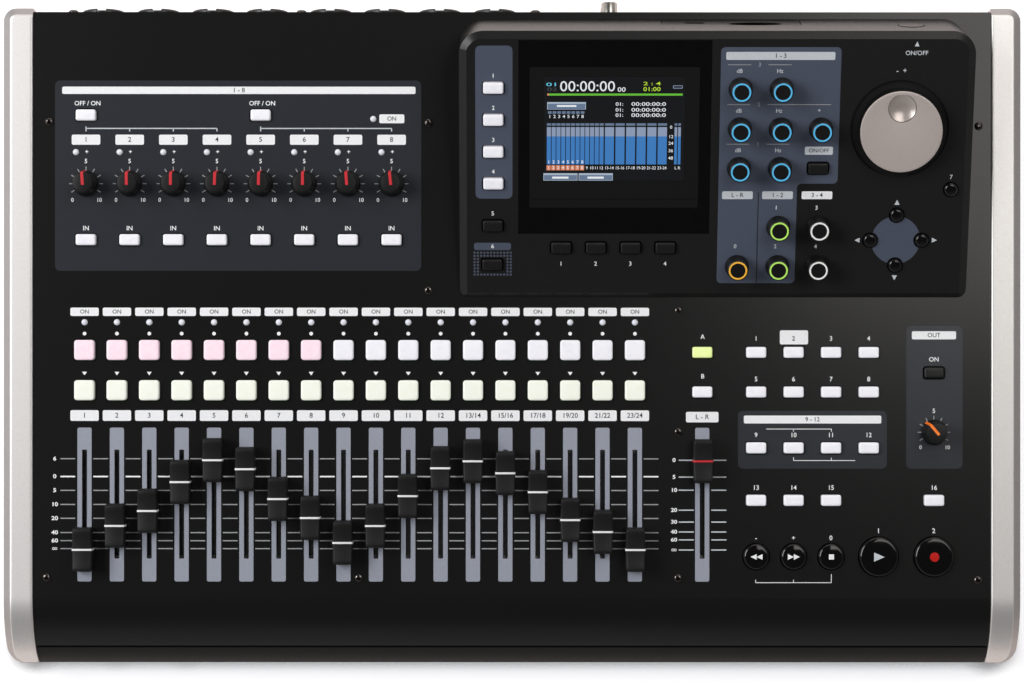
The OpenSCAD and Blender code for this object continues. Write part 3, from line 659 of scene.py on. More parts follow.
def make_piece_tree():
    """Puts one finished piece on every point."""
    tree, start, end = new_tree(
        "piece_on_points",
        [("Piece", "NodeSocketObject"), ("Size", "NodeSocketFloat"), ("Finish", "NodeSocketMaterial")],
    )
    source = tree.nodes.new("GeometryNodeObjectInfo")
    tree.links.new(start.outputs["Piece"], source.inputs["Object"])
    spread = on_points(tree, start.outputs["Geometry"], source.outputs["Geometry"])
    tree.links.new(start.outputs["Size"], spread.inputs["Scale"])
    close_tree(tree, start, end, spread.outputs["Instances"])
    return tree


def make_dial_tree():
    """Draws the marks of a dial round every point."""
    tree, start, end = new_tree(
        "dial_marks",
        [
            ("Marks", "NodeSocketInt"),
            ("Inner radius", "NodeSocketFloat"),
            ("Outer radius", "NodeSocketFloat"),
            ("Mark width", "NodeSocketFloat"),
            ("First angle", "NodeSocketFloat"),
            ("Step", "NodeSocketFloat"),
            ("Finish", "NodeSocketMaterial"),
        ],
    )
    reach = math_node(tree, "SUBTRACT", start.outputs["Outer radius"], start.outputs["Inner radius"])
    total = math_node(tree, "ADD", start.outputs["Outer radius"], start.outputs["Inner radius"])
    middle = math_node(tree, "MULTIPLY", total, 0.5)
    out = tree.nodes.new("ShaderNodeCombineXYZ")
    tree.links.new(middle, out.inputs["Y"])
    move = tree.nodes.new("GeometryNodeTransform")
    tree.links.new(flat_bar(tree, start.outputs["Mark width"], reach), move.inputs["Geometry"])
    tree.links.new(out.outputs["Vector"], move.inputs["Translation"])
    hub = tree.nodes.new("GeometryNodeMeshLine")
    hub.inputs["Offset"].default_value = (0, 0, 0)
    tree.links.new(start.outputs["Marks"], hub.inputs["Count"])
    index = tree.nodes.new("GeometryNodeInputIndex")
    gone = math_node(tree, "MULTIPLY", index.outputs["Index"], start.outputs["Step"])
    angle = math_node(tree, "ADD", gone, start.outputs["First angle"])
    turn = tree.nodes.new("ShaderNodeCombineXYZ")
    tree.links.new(angle, turn.inputs["Z"])
    fan = on_points(tree, hub.outputs["Mesh"], move.outputs["Geometry"])
    tree.links.new(turn.outputs["Vector"], fan.inputs["Rotation"])
    spread = on_points(tree, start.outputs["Geometry"], fan.outputs["Instances"])
    close_tree(tree, start, end, spread.outputs["Instances"])
    return tree


def make_bar_tree():
    """Puts a flat bar of one size on every point."""
    tree, start, end = new_tree(
        "bars_on_points",
        [
            ("Bar width", "NodeSocketFloat"),
            ("Bar length", "NodeSocketFloat"),
            ("Finish", "NodeSocketMaterial"),
        ],
    )
    bar = flat_bar(tree, start.outputs["Bar width"], start.outputs["Bar length"])
    spread = on_points(tree, start.outputs["Geometry"], bar)
    close_tree(tree, start, end, spread.outputs["Instances"])
    return tree


PIECE_TREE = make_piece_tree()
DIAL_TREE = make_dial_tree()
BAR_TREE = make_bar_tree()


def grow(name, tree, points, inputs, place):
    """Runs a tree on points in mm, and keeps the result as a plain mesh on the chassis."""
    seeds = bpy.data.meshes.new(name + "_points")
    seeds.from_pydata(points, [], [])
    holder = bpy.data.objects.new(name + "_points", seeds)
    bpy.context.scene.collection.objects.link(holder)
    keys = {s.name: s.identifier for s in tree.interface.items_tree if s.in_out == "INPUT"}
    repeat = holder.modifiers.new("repeat", "NODES")
    repeat.node_group = tree
    for title, value in inputs.items():
        repeat[keys[title]] = value
    ready = holder.evaluated_get(bpy.context.evaluated_depsgraph_get())
    mesh = bpy.data.meshes.new_from_object(ready)
    mesh.name = name
    bpy.data.objects.remove(holder)
    mesh.transform(place)
    return put_in(name, mesh, "chassis", EDGE_CREASE)


def pattern(name, bm):
    """A shape in mm that a tree repeats, kept out of the picture."""
    return bpy.data.objects.new(name, as_mesh(name, bm))


def lifted(places, level=0.0):
    return [(p[0], p[1], level) for p in places]


# Keys


KEY_EDGE = [(0, -0.7), (0.1, -0.36), (0.32, -0.12), (0.75, 0), (1.6, 0.03)]
LEAST_CORNER = 0.25


def key_cap(bm, at, size, corner, finish=0):
    """A moulded key with a soft edge all round its top."""
    steps = [(0, KEY_FOOT)] + [(inset, KEY_RISE + lift) for inset, lift in KEY_EDGE]
    rings = []
    for inset, height in steps:
        radius = max(corner - inset, LEAST_CORNER)
        outline = rounded(size[0] - 2 * inset, size[1] - 2 * inset, radius, 4, at)
        rings.append([(x, y, height) for x, y in outline])
    skin(bm, rings, finish)


CROWN = 0.25
DOME_EDGE = 1.7
DOME_DROP = 1.5


def dome_height(reach, radius, rise):
    """Height of a round key's top at a distance from its middle."""
    edge = radius - DOME_EDGE
    if reach <= edge:
        return rise - CROWN * (reach / edge) ** 2
    share = min((reach - edge) / DOME_EDGE, 1)
    return rise - CROWN - DOME_DROP * (1 - sqrt(max(1 - share * share, 0)))


def dome_key(bm, at, diameter, rise, finish=0):
    """A round glossy key with a gently crowned top and a rolled edge."""
    radius = diameter / 2
    edge = radius - DOME_EDGE
    profile = [(radius, KEY_FOOT), (radius, dome_height(radius, radius, rise))]
    for angle in (15, 30, 45, 60, 75, 90):
        reach = edge + (radius - edge) * cos(radians(angle))
        profile.append((reach, dome_height(reach, radius, rise)))
    for share in (0.75, 0.5, 0.25):
        profile.append((edge * share, dome_height(edge * share, radius, rise)))
    profile.append((0, rise))
    lathe(bm, profile, at, 64, finish)


def channel_keys(name, v, lit, plain, lit_count):
    """A row of square keys, of which the first ones have a finish of their own."""
    bm = bmesh.new()
    for i, u in enumerate(COLUMNS):
        key_cap(bm, (u, v), SQUARE_KEY, SQUARE_CORNER, finish=0 if i < lit_count else 1)
    piece = settle(name + "_caps", bm, PANEL, [lit, plain], name, KEY_CREASE)
    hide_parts(name)


channel_keys("rec_keys", REC_V, key_pink, key_white, 8)
channel_keys("select_keys", SELECT_V, key_cream, key_cream, 18)

PANEL_WHITE_KEYS = PHANTOM + [(u, SOURCE_V) for u in INPUTS] + [(MASTER, KEY_ROWS[1])]
PANEL_WHITE_KEYS += [(u, v) for v in KEY_ROWS for u in KEY_COLUMNS]
PANEL_WHITE_KEYS += [(u, PUNCH_V) for u in KEY_COLUMNS[:3] + [MONITOR_U]]


def panel_keys():
    """Bar keys of the main panel, in three finishes."""
    bm = bmesh.new()
    for place in PANEL_WHITE_KEYS:
        key_cap(bm, place, BAR_KEY, BAR_CORNER)
    key_cap(bm, (MASTER, KEY_ROWS[0]), BAR_KEY, BAR_CORNER, finish=1)
    key_cap(bm, (MONITOR_U, MONITOR_KEY_V), BAR_KEY, BAR_CORNER, finish=2)
    finishes = [key_white, key_green, key_black]
    piece = settle("panel_keys_caps", bm, PANEL, finishes, "panel_keys", KEY_CREASE)
    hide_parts("panel_keys")


def screen_keys():
    """Bar keys and small round keys of the display housing."""
    bm = bmesh.new()
    for place in SIDE_KEYS:
        key_cap(bm, place, BAR_KEY, BAR_CORNER)
    for place in [MENU_KEY, HOME_KEY, TONE_KEY] + SOFT_KEYS:
        key_cap(bm, place, BAR_KEY, BAR_CORNER, finish=1)
    for angle in QUARTERS:
        u = CURSOR[0] + CURSOR_REACH * cos(radians(angle))
        s = CURSOR[1] + CURSOR_REACH * sin(radians(angle))
        dome_key(bm, (u, s), CURSOR_ROUND, KEY_RISE, 2)
    dome_key(bm, JOG_PLAY, CURSOR_ROUND, KEY_RISE, 2)
    finishes = [key_white, key_black, button_gloss]
    piece = settle("screen_keys_caps", bm, SCREEN, finishes, "screen_keys", KEY_CREASE)
    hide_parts("screen_keys")


def triangle(at, reach, half, angle):
    """A pointer from its base's middle, turned counter-clockwise from the right."""
    along = Vector((cos(radians(angle)), sin(radians(angle))))
    side = Vector((-along.y, along.x))
    middle = Vector(at)
    corners = [middle - side * half, middle + along * reach, middle + side * half]
    return [tuple(p) for p in corners]


SMALL_ROUND_RISE = KEY_RISE + 0.6
LARGE_ROUND_RISE = KEY_RISE + 1.2
WIND_ARROW = (3.1, 1.45)
WIND_GAP = 0.1
STOP_SIDE = 2.6
PLAY_ARROW = (5.4, 2.3)
PLAY_START = 2.6
RECORD_DOT = 2.35
SIGN_LIFT = 0.04


def transport_keys():
    """Round keys in two sizes, with their signs laid over the crowned tops."""
    bm = bmesh.new()
    domes = [(u, SMALL_ROUND, SMALL_ROUND_RISE) for u in KEY_COLUMNS[:3]]
    domes += [(u, LARGE_ROUND, LARGE_ROUND_RISE) for u in LARGE_KEYS]
    for u, diameter, rise in domes:
        dome_key(bm, (u, TRANSPORT_V), diameter, rise)
    piece = settle("transport_keys_domes", bm, PANEL, [button_gloss], "transport_keys", KEY_CREASE)
    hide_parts("transport_keys")
    signs = Print()
    back, ahead, stop = KEY_COLUMNS[:3]
    play, record = LARGE_KEYS
    v = TRANSPORT_V
    for start in (WIND_GAP, WIND_ARROW[0]):
        signs.face(triangle((back + start, v), *WIND_ARROW, 180), white_ink)
    for start in (WIND_ARROW[0], WIND_GAP):
        signs.face(triangle((ahead - start, v), *WIND_ARROW, 0), white_ink)
    signs.face(rounded(STOP_SIDE, STOP_SIDE, 0.1, 1, (stop, v)), white_ink)
    signs.face(triangle((play - PLAY_START, v), *PLAY_ARROW, 0), pale_ink)
    signs.face(circle((record, v), RECORD_DOT, 32), dot_red)
    bmesh.ops.triangulate(signs.bm, faces=signs.bm.faces[:])
    bmesh.ops.subdivide_edges(signs.bm, edges=signs.bm.edges[:], cuts=3, use_grid_fill=True)
    for vert in signs.bm.verts:
        middle, diameter, rise = min(domes, key=lambda dome: abs(dome[0] - vert.co.x))
        reach = hypot(vert.co.x - middle, vert.co.y - v)
        vert.co.z = dome_height(reach, diameter / 2, rise) + SIGN_LIFT
    signs.done("transport_keys_signs", PANEL, "transport_keys")


STANDBY_AT = (199.6, 20.5)
STANDBY_PROFILE = [(6.4, -3), (6.4, 0.0), (6.3, 0.18), (6.1, 0.28), (5.6, 0.3), (0, 0.3)]


def standby_button():
    """A shallow round button on the rear slope of the display housing."""
    bm = bmesh.new()
    lathe(bm, STANDBY_PROFILE)
    place = on_rear_slope(*STANDBY_AT)
    piece = settle("standby_button_cap", bm, place, [housing_plastic], "standby_button")
    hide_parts("standby_button")


panel_keys()
screen_keys()
transport_keys()
standby_button()

# Faders

CAP_GAP = 2
CAP_STATIONS = [
    (-11.0, 4.1, 9.2), (-10.85, 4.4, 10.3), (-10.4, 4.62, 10.8), (-9.6, 4.75, 10.95), (-8.4, 4.8, 10.8),
    (-6.6, 4.85, 10.35), (-4.4, 4.92, 10.0), (-2.2, 4.98, 9.8), (-0.6, 5.0, 9.72),
]
CAP_STATIONS += [(-v, half, top) for v, half, top in reversed(CAP_STATIONS)]
CAP_CORNER = 0.9
LINE_STATIONS = [(-0.52, 5.1, 9.74), (-0.4, 5.12, 9.94), (0.4, 5.12, 9.94), (0.52, 5.1, 9.74)]
LEVER = (1.2, 5)
LEVER_ENDS = (-9.1, 4)


def cap_section(v, half, top):
    """Section across a cap at one place along it, with both upper corners rounded."""
    right = [(half, CAP_GAP)]
    for angle in (0, 30, 60, 90):
        out = CAP_CORNER * cos(radians(angle))
        up = CAP_CORNER * sin(radians(angle))
        right.append((half - CAP_CORNER + out, top - CAP_CORNER + up))
    left = [(-x, z) for x, z in reversed(right)]
    return [(x, v, z) for x, z in right + left]


def fader(name, u, rest, line_finish):
    """A saddle-shaped cap with its line wrapped over the middle, on its steel lever."""
    bm = bmesh.new()
    v = FADER_MID - FADER_TRAVEL / 2 + rest
    skin(bm, [cap_section(*station) for station in CAP_STATIONS])
    skin(bm, [cap_section(*station) for station in LINE_STATIONS], 1)
    skin(bm, at_heights(rounded(*LEVER, 0.2, 1), LEVER_ENDS), 2)
    bmesh.ops.translate(bm, verts=bm.verts, vec=(u, v, 0))
    finishes = [cap_black, line_finish, plated_steel]
    piece = settle(name + "_cap", bm, PANEL, finishes, name, CAP_CREASE)
    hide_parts(name)


for i, u in enumerate(COLUMNS):
    fader(f"fader_{i + 1}", u, FADER_REST[i], line_white)
fader("master_fader", MASTER, MASTER_REST, line_red)

# Knobs

TRIM_PROFILE = [
    (6.2, 0.8), (6.5, 1.0), (6.5, 2.2), (6.2, 2.6), (6.05, 3.4), (5.4, 11.4), (5.15, 12.3), (4.6, 12.85),
    (3.6, 13), (0, 13.05),
]
TRIM_POINTER = [(-1.3, 13.05), (1.5, 13.04)] + TRIM_PROFILE[-2:0:-1]
POINTER_HALF = 0.72
POINTER_LIFT = 0.13
KNOB_FOOT = 0.8
SHAFT = 2.6
SHAFT_TOP = 0.9


def pointer_strip(bm, path, half, finish):
    """A painted pointer that follows a knob's profile, given from the middle of its top outwards."""
    rows = []
    for i, (reach, height) in enumerate(path):
        last = path[max(i - 1, 0)]
        ahead = path[min(i + 1, len(path) - 1)]
        along = Vector((ahead[0] - last[0], ahead[1] - last[1])).normalized()
        out = Vector((-along.y, along.x))
        y = reach + POINTER_LIFT * out.x
        z = height + POINTER_LIFT * out.y
        rows.append([bm.verts.new((x, y, z)) for x in (-half, half)])
    for near, far in zip(rows, rows[1:]):
        bm.faces.new((near[0], near[1], far[1], far[0])).material_index = finish


def trim_knob(name, at, turn, pointer):
    """A fluted knob with a pointer painted over its top and down its side."""
    bm = bmesh.new()
    profile = [(0, KNOB_FOOT)] + TRIM_PROFILE
    lathe(bm, profile, segments=72, flutes=18, depth=0.28, fluted=(3.3, 11.5))
    lathe(bm, [(SHAFT, -9), (SHAFT, SHAFT_TOP)], segments=24, finish=2)
    pointer_strip(bm, TRIM_POINTER, POINTER_HALF, 1)
    place = PANEL @ shifted(at[0], at[1], 0) @ turned(turn, "Z")
    piece = settle(name + "_shell", bm, place, [knob_black, pointer, plated_steel], name, closed=False)
    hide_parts(name)


for i, u in enumerate(INPUTS):
    trim_knob(f"trim_knob_{i + 1}", (u, TRIM_V), TRIM_TURN[i], pointer_red)
trim_knob("monitor_knob", (MONITOR_U, MONITOR_KNOB_V), MONITOR_TURN, pointer_orange)

RING_FINISHES = [ring_blue] * 7 + [ring_orange, ring_green, ring_white, ring_green, ring_white]
ENCODER_SIDE = [
    (0, KNOB_FOOT), (5.7, KNOB_FOOT), (6.0, 1.1), (6.0, 2.2), (5.85, 2.6), (5.36, 8.9), (5.2, 9.4),
    (4.62, 9.72),
]
ENCODER_RING = [(4.62, 9.72), (4.54, 9.8), (3.86, 9.8), (3.76, 9.7)]
ENCODER_TOP = [(3.76, 9.7), (3.64, 9.5), (0, 9.46)]
ENCODER_SHAFT = [(SHAFT, -10), (SHAFT, SHAFT_TOP)]


def encoder(name, at, ring):
    """A fluted knob with a coloured ring let into its top."""
    bm = bmesh.new()
    lathe(bm, ENCODER_SIDE, at, 72, 0, flutes=24, depth=0.22, fluted=(2.6, 8.9))
    lathe(bm, ENCODER_RING, at, 72, 1)
    lathe(bm, ENCODER_TOP, at, 72, 0)
    lathe(bm, ENCODER_SHAFT, at, 24, 2)
    piece = settle(name + "_shell", bm, SCREEN, [knob_black, ring, plated_steel], name, closed=False)
    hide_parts(name)


for i, place in enumerate(ENCODERS):
    encoder(f"encoder_{i + 1}", place, RING_FINISHES[i])


WHEEL_TOP = 8
WHEEL_FLAT = 18.6
WHEEL_SIDE = [(0, -0.7), (20.45, -0.7), (20.45, 7.2)]
WHEEL_RIM = [
    (20.45, 7.2), (20.4, 7.65), (20.2, 7.9), (19.9, WHEEL_TOP), (19.4, WHEEL_TOP), (WHEEL_FLAT, WHEEL_TOP),
]
WHEEL_SHAFT = [(SHAFT, -10), (SHAFT, -0.6)]
DIMPLE_EDGE = 7.05
DIMPLE_LIP = [(DIMPLE_EDGE, WHEEL_TOP), (6.95, 7.98), (6.85, 7.85), (6.8, 7.5)]
DIMPLE_SHARES = (0.9, 0.75, 0.6, 0.45, 0.3, 0.15, 0)
DIMPLE_FLOOR = 5.6
DIMPLE_DEPTH = 1.9


def jog_wheel():
    """A black wheel with a satin disc on top and a round finger dimple near its edge."""
    bm = bmesh.new()
    lathe(bm, WHEEL_SIDE, segments=128, finish=3)
    lathe(bm, WHEEL_RIM, segments=128)
    hole = (0, JOG_DIMPLE)
    cover(bm, circle((0, 0), WHEEL_FLAT, 128), circle(hole, DIMPLE_EDGE, 72), WHEEL_TOP)
    lathe(bm, DIMPLE_LIP, hole, 72, 3)
    rim = DIMPLE_LIP[-1]
    bowl = [(rim[0] * share, DIMPLE_FLOOR + DIMPLE_DEPTH * share * share) for share in DIMPLE_SHARES]
    lathe(bm, [rim] + bowl, hole, 72, 1)
    lathe(bm, WHEEL_SHAFT, segments=24, finish=2)
    bm.transform(shifted(JOG[0], JOG[1], 0))
    bmesh.ops.remove_doubles(bm, verts=bm.verts, dist=SEAM_GAP)
    finishes = [jog_satin, dimple_satin, plated_steel, knob_black]
    piece = settle("jog_wheel_disc", bm, SCREEN, finishes, "jog_wheel", closed=False)
    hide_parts("jog_wheel")


jog_wheel()

# Side cheeks

CHEEK_INNER = 241.95
CHEEK_OUTER = 257
CHEEK_FRONT = -169.64
CHEEK_REAR = 161.09
CHEEK_FOOT = 6.5
CHEEK_RISE = 1.2
CHEEK_BEVEL = 3.8
CHEEK_CORNERS = (7.5, 6.5)
BEVEL_STEPS = [(0, 0.75), (0.93, 0.08), (0.99, 0.036), (1.05, 0.012), (1.14, 0), (1.3, 0)]
INNER_STEPS = [(1.7, 0), (0.9, 0), (0.35, 0.1), (0.1, 0.35), (0, 0.8)]
NOSE_MIDDLE = (-133.64, 7.91)
NOSE_RADIUS = 38
NOSE_START = -128.8
FRONT_SHARE = 0.12
CORNER_STEPS = 8
FULL_STEP = 6
SIDE_STEP = 2.2
SIDE_PLACES = [-100, -50, 0, 50, 100, 140]
CHEEK_GAP = 1e-3
CHEEK_CREASE = 35
# Place and width of the painted shadow along the seam of the nose
SEAM_SHADOW_TURNS = [41, 42, 42.9]
SEAM_SHADOW_RADIUS = NOSE_RADIUS + 0.03
SEAM_SHADOW_HALF = 242


def cheek_top(y, sink):
    """Height of the cheek's top at a place along it, sunk below its full size."""
    radius = NOSE_RADIUS + CHEEK_RISE - sink
    slope = radians(PANEL_SLOPE)
    start = NOSE_MIDDLE[0] - radius * sin(slope)
    if y < start:
        reach = min(NOSE_MIDDLE[0] - y, radius)
        return NOSE_MIDDLE[1] + sqrt(radius * radius - reach * reach)
    return NOSE_MIDDLE[1] + radius * cos(slope) + (y - start) * tan(slope)


def cheek_plan():
    """Outer outline from front to rear: each point, its inward direction and its share of the bevel."""
    front, rear = CHEEK_CORNERS
    points = [((CHEEK_INNER, CHEEK_FRONT), (0, 1), FRONT_SHARE)]
    for step in range(CORNER_STEPS + 1):
        angle = radians(-90 + 90 * step / CORNER_STEPS)
        x = CHEEK_OUTER - front + front * cos(angle)
        y = CHEEK_FRONT + front + front * sin(angle)
        share = FRONT_SHARE + (1 - FRONT_SHARE) * min(step / FULL_STEP, 1)
        points.append(((x, y), (-cos(angle), -sin(angle)), share))
    side = [CHEEK_FRONT + front + SIDE_STEP * i for i in range(1, 14)] + SIDE_PLACES
    points += [((CHEEK_OUTER, y), (-1, 0), 1) for y in side]
    for step in range(CORNER_STEPS + 1):
        angle = radians(90 * step / CORNER_STEPS)
        x = CHEEK_OUTER - rear + rear * cos(angle)
        y = CHEEK_REAR - rear + rear * sin(angle)
        points.append(((x, y), (-cos(angle), -sin(angle)), 1))
    points.append(((CHEEK_INNER, CHEEK_REAR), (0, -1), 1))
    return points


def cheek(name, side):
    """A cheek with its top rolled over the nose, a wide bevel outside and a soft edge inside."""
    bm = bmesh.new()
    columns = []
    for (x, y), (nx, ny), share in cheek_plan():
        column = [bm.verts.new((x, y, CHEEK_FOOT))]
        for inset, sink in BEVEL_STEPS:
            edge_x = max(x + nx * inset * CHEEK_BEVEL * share, CHEEK_INNER)
            edge_y = y + ny * inset * CHEEK_BEVEL * share
            column.append(bm.verts.new((edge_x, edge_y, cheek_top(edge_y, sink * CHEEK_BEVEL * share))))
        for inset, sink in INNER_STEPS:
            seam_x = min(CHEEK_INNER + inset, edge_x)
            column.append(bm.verts.new((seam_x, edge_y, cheek_top(edge_y, sink))))
        columns.append(column)
    for here, ahead in zip(columns, columns[1:]):
        for i in range(len(here) - 1):
            strip = bm.faces.new((here[i], ahead[i], ahead[i + 1], here[i + 1]))
            # The bevel strip takes the darker copy of the silver paint, which is painted shade
            strip.material_index = 1 if i == 1 else 0
    bm.faces.new([column[0] for column in reversed(columns)])
    bmesh.ops.remove_doubles(bm, verts=bm.verts, dist=CHEEK_GAP)
    bmesh.ops.holes_fill(bm, edges=[e for e in bm.edges if e.is_boundary], sides=0)
    if side < 0:
        bm.transform(Matrix.Scale(-1, 4, (1, 0, 0)))
    piece = settle(name + "_shell", bm, WHOLE, [silver_paint, silver_bevel_painted_shade], "chassis", CHEEK_CREASE)
    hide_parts(name)


cheek("right_cheek", 1)
cheek("left_cheek", -1)


def front_seam():
    """A painted shadow: a dark strip on the nose where the gap between the panel and the bezel under it lies
    in shade.
    """
    bm = bmesh.new()
    rows = []
    for turn in SEAM_SHADOW_TURNS:
        v = NOSE_START - SEAM_SHADOW_RADIUS * sin(radians(turn))
        w = SEAM_SHADOW_RADIUS * cos(radians(turn)) - NOSE_RADIUS
        rows.append([bm.verts.new((u, v, w)) for u in (-SEAM_SHADOW_HALF, SEAM_SHADOW_HALF)])
    for near, far in zip(rows, rows[1:]):
        bm.faces.new((near[0], far[0], far[1], near[1]))
    settle("front_seam", bm, PANEL, [hole_and_shade_black], "chassis", closed=False)


front_seam()

# Screws and indicator lenses

SCREW_DOME = [
    (2.1, -0.4), (2.1, 0.3), (2.05, 0.5), (1.9, 0.75), (1.65, 0.98), (1.3, 1.14), (0.9, 1.24), (0.35, 1.3),
]
SCREW_STEPS = 48
RECESS_REACH = 1.3
RECESS_MIDDLE = 0.5
RECESS_ARM = 14
RECESS_DEPTH = 0.7
REAR_SCREW_SIZE = 1.22
LENS_RADIUS = 1.55
LENS_RIM = 0.3
LENS_DOME = 1.2


def screw_head():
    """A domed head with a cross recess."""
    bm = bmesh.new()
    rings = []
    for radius, height in SCREW_DOME:
        ring = []
        for i in range(SCREW_STEPS):
            angle = 360 * i / SCREW_STEPS
            in_arm = min(angle % 90, 90 - angle % 90) < RECESS_ARM or radius < RECESS_MIDDLE
            sunk = RECESS_DEPTH if radius < RECESS_REACH and in_arm else 0
            ring.append((radius * cos(radians(angle)), radius * sin(radians(angle)), height - sunk))
        rings.append(ring)
    skin(bm, rings)
    close_seams(bm)
    return pattern("screw_head", bm)


def led_lens():
    """A round lens with a domed top."""
    bm = bmesh.new()
    profile = [(LENS_RADIUS, -2), (LENS_RADIUS, LENS_RIM)]
    for angle in (20, 40, 60, 78):
        profile.append((LENS_RADIUS * cos(radians(angle)), LENS_RIM + LENS_DOME * sin(radians(angle))))
    lathe(bm, profile + [(0, LENS_RIM + LENS_DOME)], segments=24)
    close_seams(bm)
    return pattern("led_lens", bm)


screw = {"Piece": screw_head(), "Size": 1.0, "Finish": screw_black}
top_screws = grow("top_screws", PIECE_TREE, lifted(SCREWS), screw, PANEL)
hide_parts("screws")
rear_flange = PANEL @ shifted(0, PANEL_REAR, -REAR_SCREW_DROP) @ turned(-90, "X")
screw.update({"Size": REAR_SCREW_SIZE})
grow("rear_screws", PIECE_TREE, [(u, 0, 0) for u in REAR_SCREWS], screw, rear_flange)
LEDS = [(u, MUTE_LED_V) for u in COLUMNS] + [GUITAR_LED]
LEDS += [(u + OVERLOAD_LED[0], OVERLOAD_LED[1]) for u in INPUTS]
lens = {"Piece": led_lens(), "Size": 1.0, "Finish": led_milky}
lenses = grow("led_lenses", PIECE_TREE, lifted(LEDS), lens, PANEL)
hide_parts("indicator_lenses")

# Ink on the main panel


def key_hole(at):
    """The edge that the ink keeps round a bar key."""
    return rounded(BAR_KEY[0] + 2 * INK_GAP, BAR_KEY[1] + 2 * INK_GAP, BAR_CORNER + INK_GAP, 4, at)


STRIP_HALF = 3.6
STRIP_ENDS = (-120.4, -42.7)
STRIP_CORNER = 0.9
SLOT_GAP = 0.15
SLOT_CORNER = 0.5


def slotted_strip(sheet, u):
    """A grey guide strip with the fader's slot left open in it."""
    slot_half = SLOT[0] / 2 + SLOT_GAP
    slot_top = FADER_MID + SLOT[1] / 2
    slot_foot = FADER_MID - SLOT[1] / 2
    outline = span(u - STRIP_HALF, u + STRIP_HALF, *STRIP_ENDS, STRIP_CORNER)
    slot = span(u - slot_half, u + slot_half, slot_foot, slot_top, SLOT_CORNER)
    sheet.field(outline, [slot], strip_ink)


def bracket(sheet, u0, u1, v, stems, drop, width, finish):
    """A thin line along a row of controls, with a short stem to some of them."""
    sheet.line((u0, v), (u1, v), width, finish)
    for u in stems:
        sheet.line((u, v), (u, v - drop), width, finish)


CHANNEL_NUMBERS = [str(i) for i in range(1, 13)] + [f"{i}/{i + 1}" for i in range(13, 24, 2)]
SCALE_ROWS = [
    (-58.4, "6"), (-67.4, "0"), (-74.4, "5"), (-81.5, "10"),
    (-88.5, "20"), (-95.7, "40"), (-99.8, "60"), (-103.8, ""),
]
MASTER_ROWS = [
    (-59.1, "0"), (-67.6, "5"), (-74.2, "10"), (-84.3, "20"),
    (-90.3, "30"), (-95.3, "40"), (-99.3, "60"), (-104.4, ""),
]


def endless_sign(sheet, at, finish):
    """The sign for silence at the foot of a level scale."""
    for side in (-1, 1):
        sheet.ring((at[0] + side * 0.62, at[1]), 0.4, 0.7, finish, MARK, 12)


def scale_print(sheet, u, rows, size):
    """The numbers of a level scale, of which the last row has none."""
    for v, number in rows:
        if number:
            sheet.words(number, (u, v), size, white_ink, weight=SCALE_WEIGHT, squeeze=SCALE_SQUEEZE)
        else:
            endless_sign(sheet, (u, v), white_ink)


def channel_print(sheet):
    """Labels, marks and guide strips of the channels, with their level scale."""
    for u, number in zip(COLUMNS, CHANNEL_NUMBERS):
        sheet.plate("ON", (u, 15.8), (14.4, 4.2), 2.9)
        sheet.face(circle((u, 4.8), 0.95, 16), white_ink, MARK)
        sheet.face(triangle((u, -14.5), 1.8, 1.25, 270), white_ink, MARK)
        sheet.plate(number, (u, -36.6), (14.4, 5.4), 3.5)
        slotted_strip(sheet, u)
    scale_print(sheet, -231.9, SCALE_ROWS, 2.8)


def master_print(sheet):
    """Label, guide strip and level scale of the master fader, and letters for the two keys above it."""
    sheet.plate("L - R", (MASTER, -37.3), (16.5, 5.3), 3.5)
    slotted_strip(sheet, MASTER)
    scale_print(sheet, 82.2, MASTER_ROWS, 2.7)
    sheet.words("A", (96.7, 3.2), 3.2, white_ink)
    sheet.words("B", (96.7, -16.8), 3.2, white_ink)


def key_print(sheet):
    """Numbers and signs over the keys at the right of the panel."""
    sheet.face(span(135.85, 150.15, -0.55, 6.55, PLATE_CORNER), white_ink)
    for i, u in enumerate(KEY_COLUMNS):
        ink = dark_ink if i == 1 else white_ink
        sheet.words(str(i + 1), (u, 2.3), 3.3, ink)
        sheet.words(str(i + 5), (u, -18.2), 3.3, white_ink)
        sheet.words(str(i + 9), (u, -46.4), 3.2, white_ink)
    for i, u in enumerate(KEY_COLUMNS[:3]):
        sheet.words(str(i + 13), (u, -73.0), 3.3, white_ink)
        sheet.words(["-", "+", "0"][i], (u, -98.4), 3.3, white_ink)
    sheet.words("16", (MONITOR_U, -73.0), 3.3, white_ink)
    sheet.words("1", (LARGE_KEYS[0], -94.8), 3.4, white_ink)
    sheet.words("2", (LARGE_KEYS[1], -94.8), 3.4, white_ink)
    bracket(sheet, 123.6, 162, -120.9, [123.6, 142.8], -1.5, THIN_LINE, white_ink)
    sheet.line((162, -120.9), (162, -116.6), THIN_LINE, white_ink)


def locate_print(sheet):
    """The field behind the third row of those keys."""
    holes = [key_hole((u, KEY_ROWS[2])) for u in KEY_COLUMNS]
    sheet.field(span(114.6, 190.1, -63.3, -34.1, FIELD_CORNER), holes, input_ink)
    sheet.face(span(117.6, 187.3, -40.5, -36.5, SLIM_CORNER), white_ink)
    sheet.words("9 - 12", (152.4, -38.5), 3.1, dark_ink, weight=PLATE_WEIGHT)
    bracket(sheet, 129, 162, -43.3, [142.8, 162], 1.3, THIN_LINE, white_ink)
    bracket(sheet, 142.8, 174, -59.2, [142.8], -1.6, THIN_LINE, white_ink)
    sheet.line((162, -59.2), (162, -57.8), THIN_LINE, white_ink)


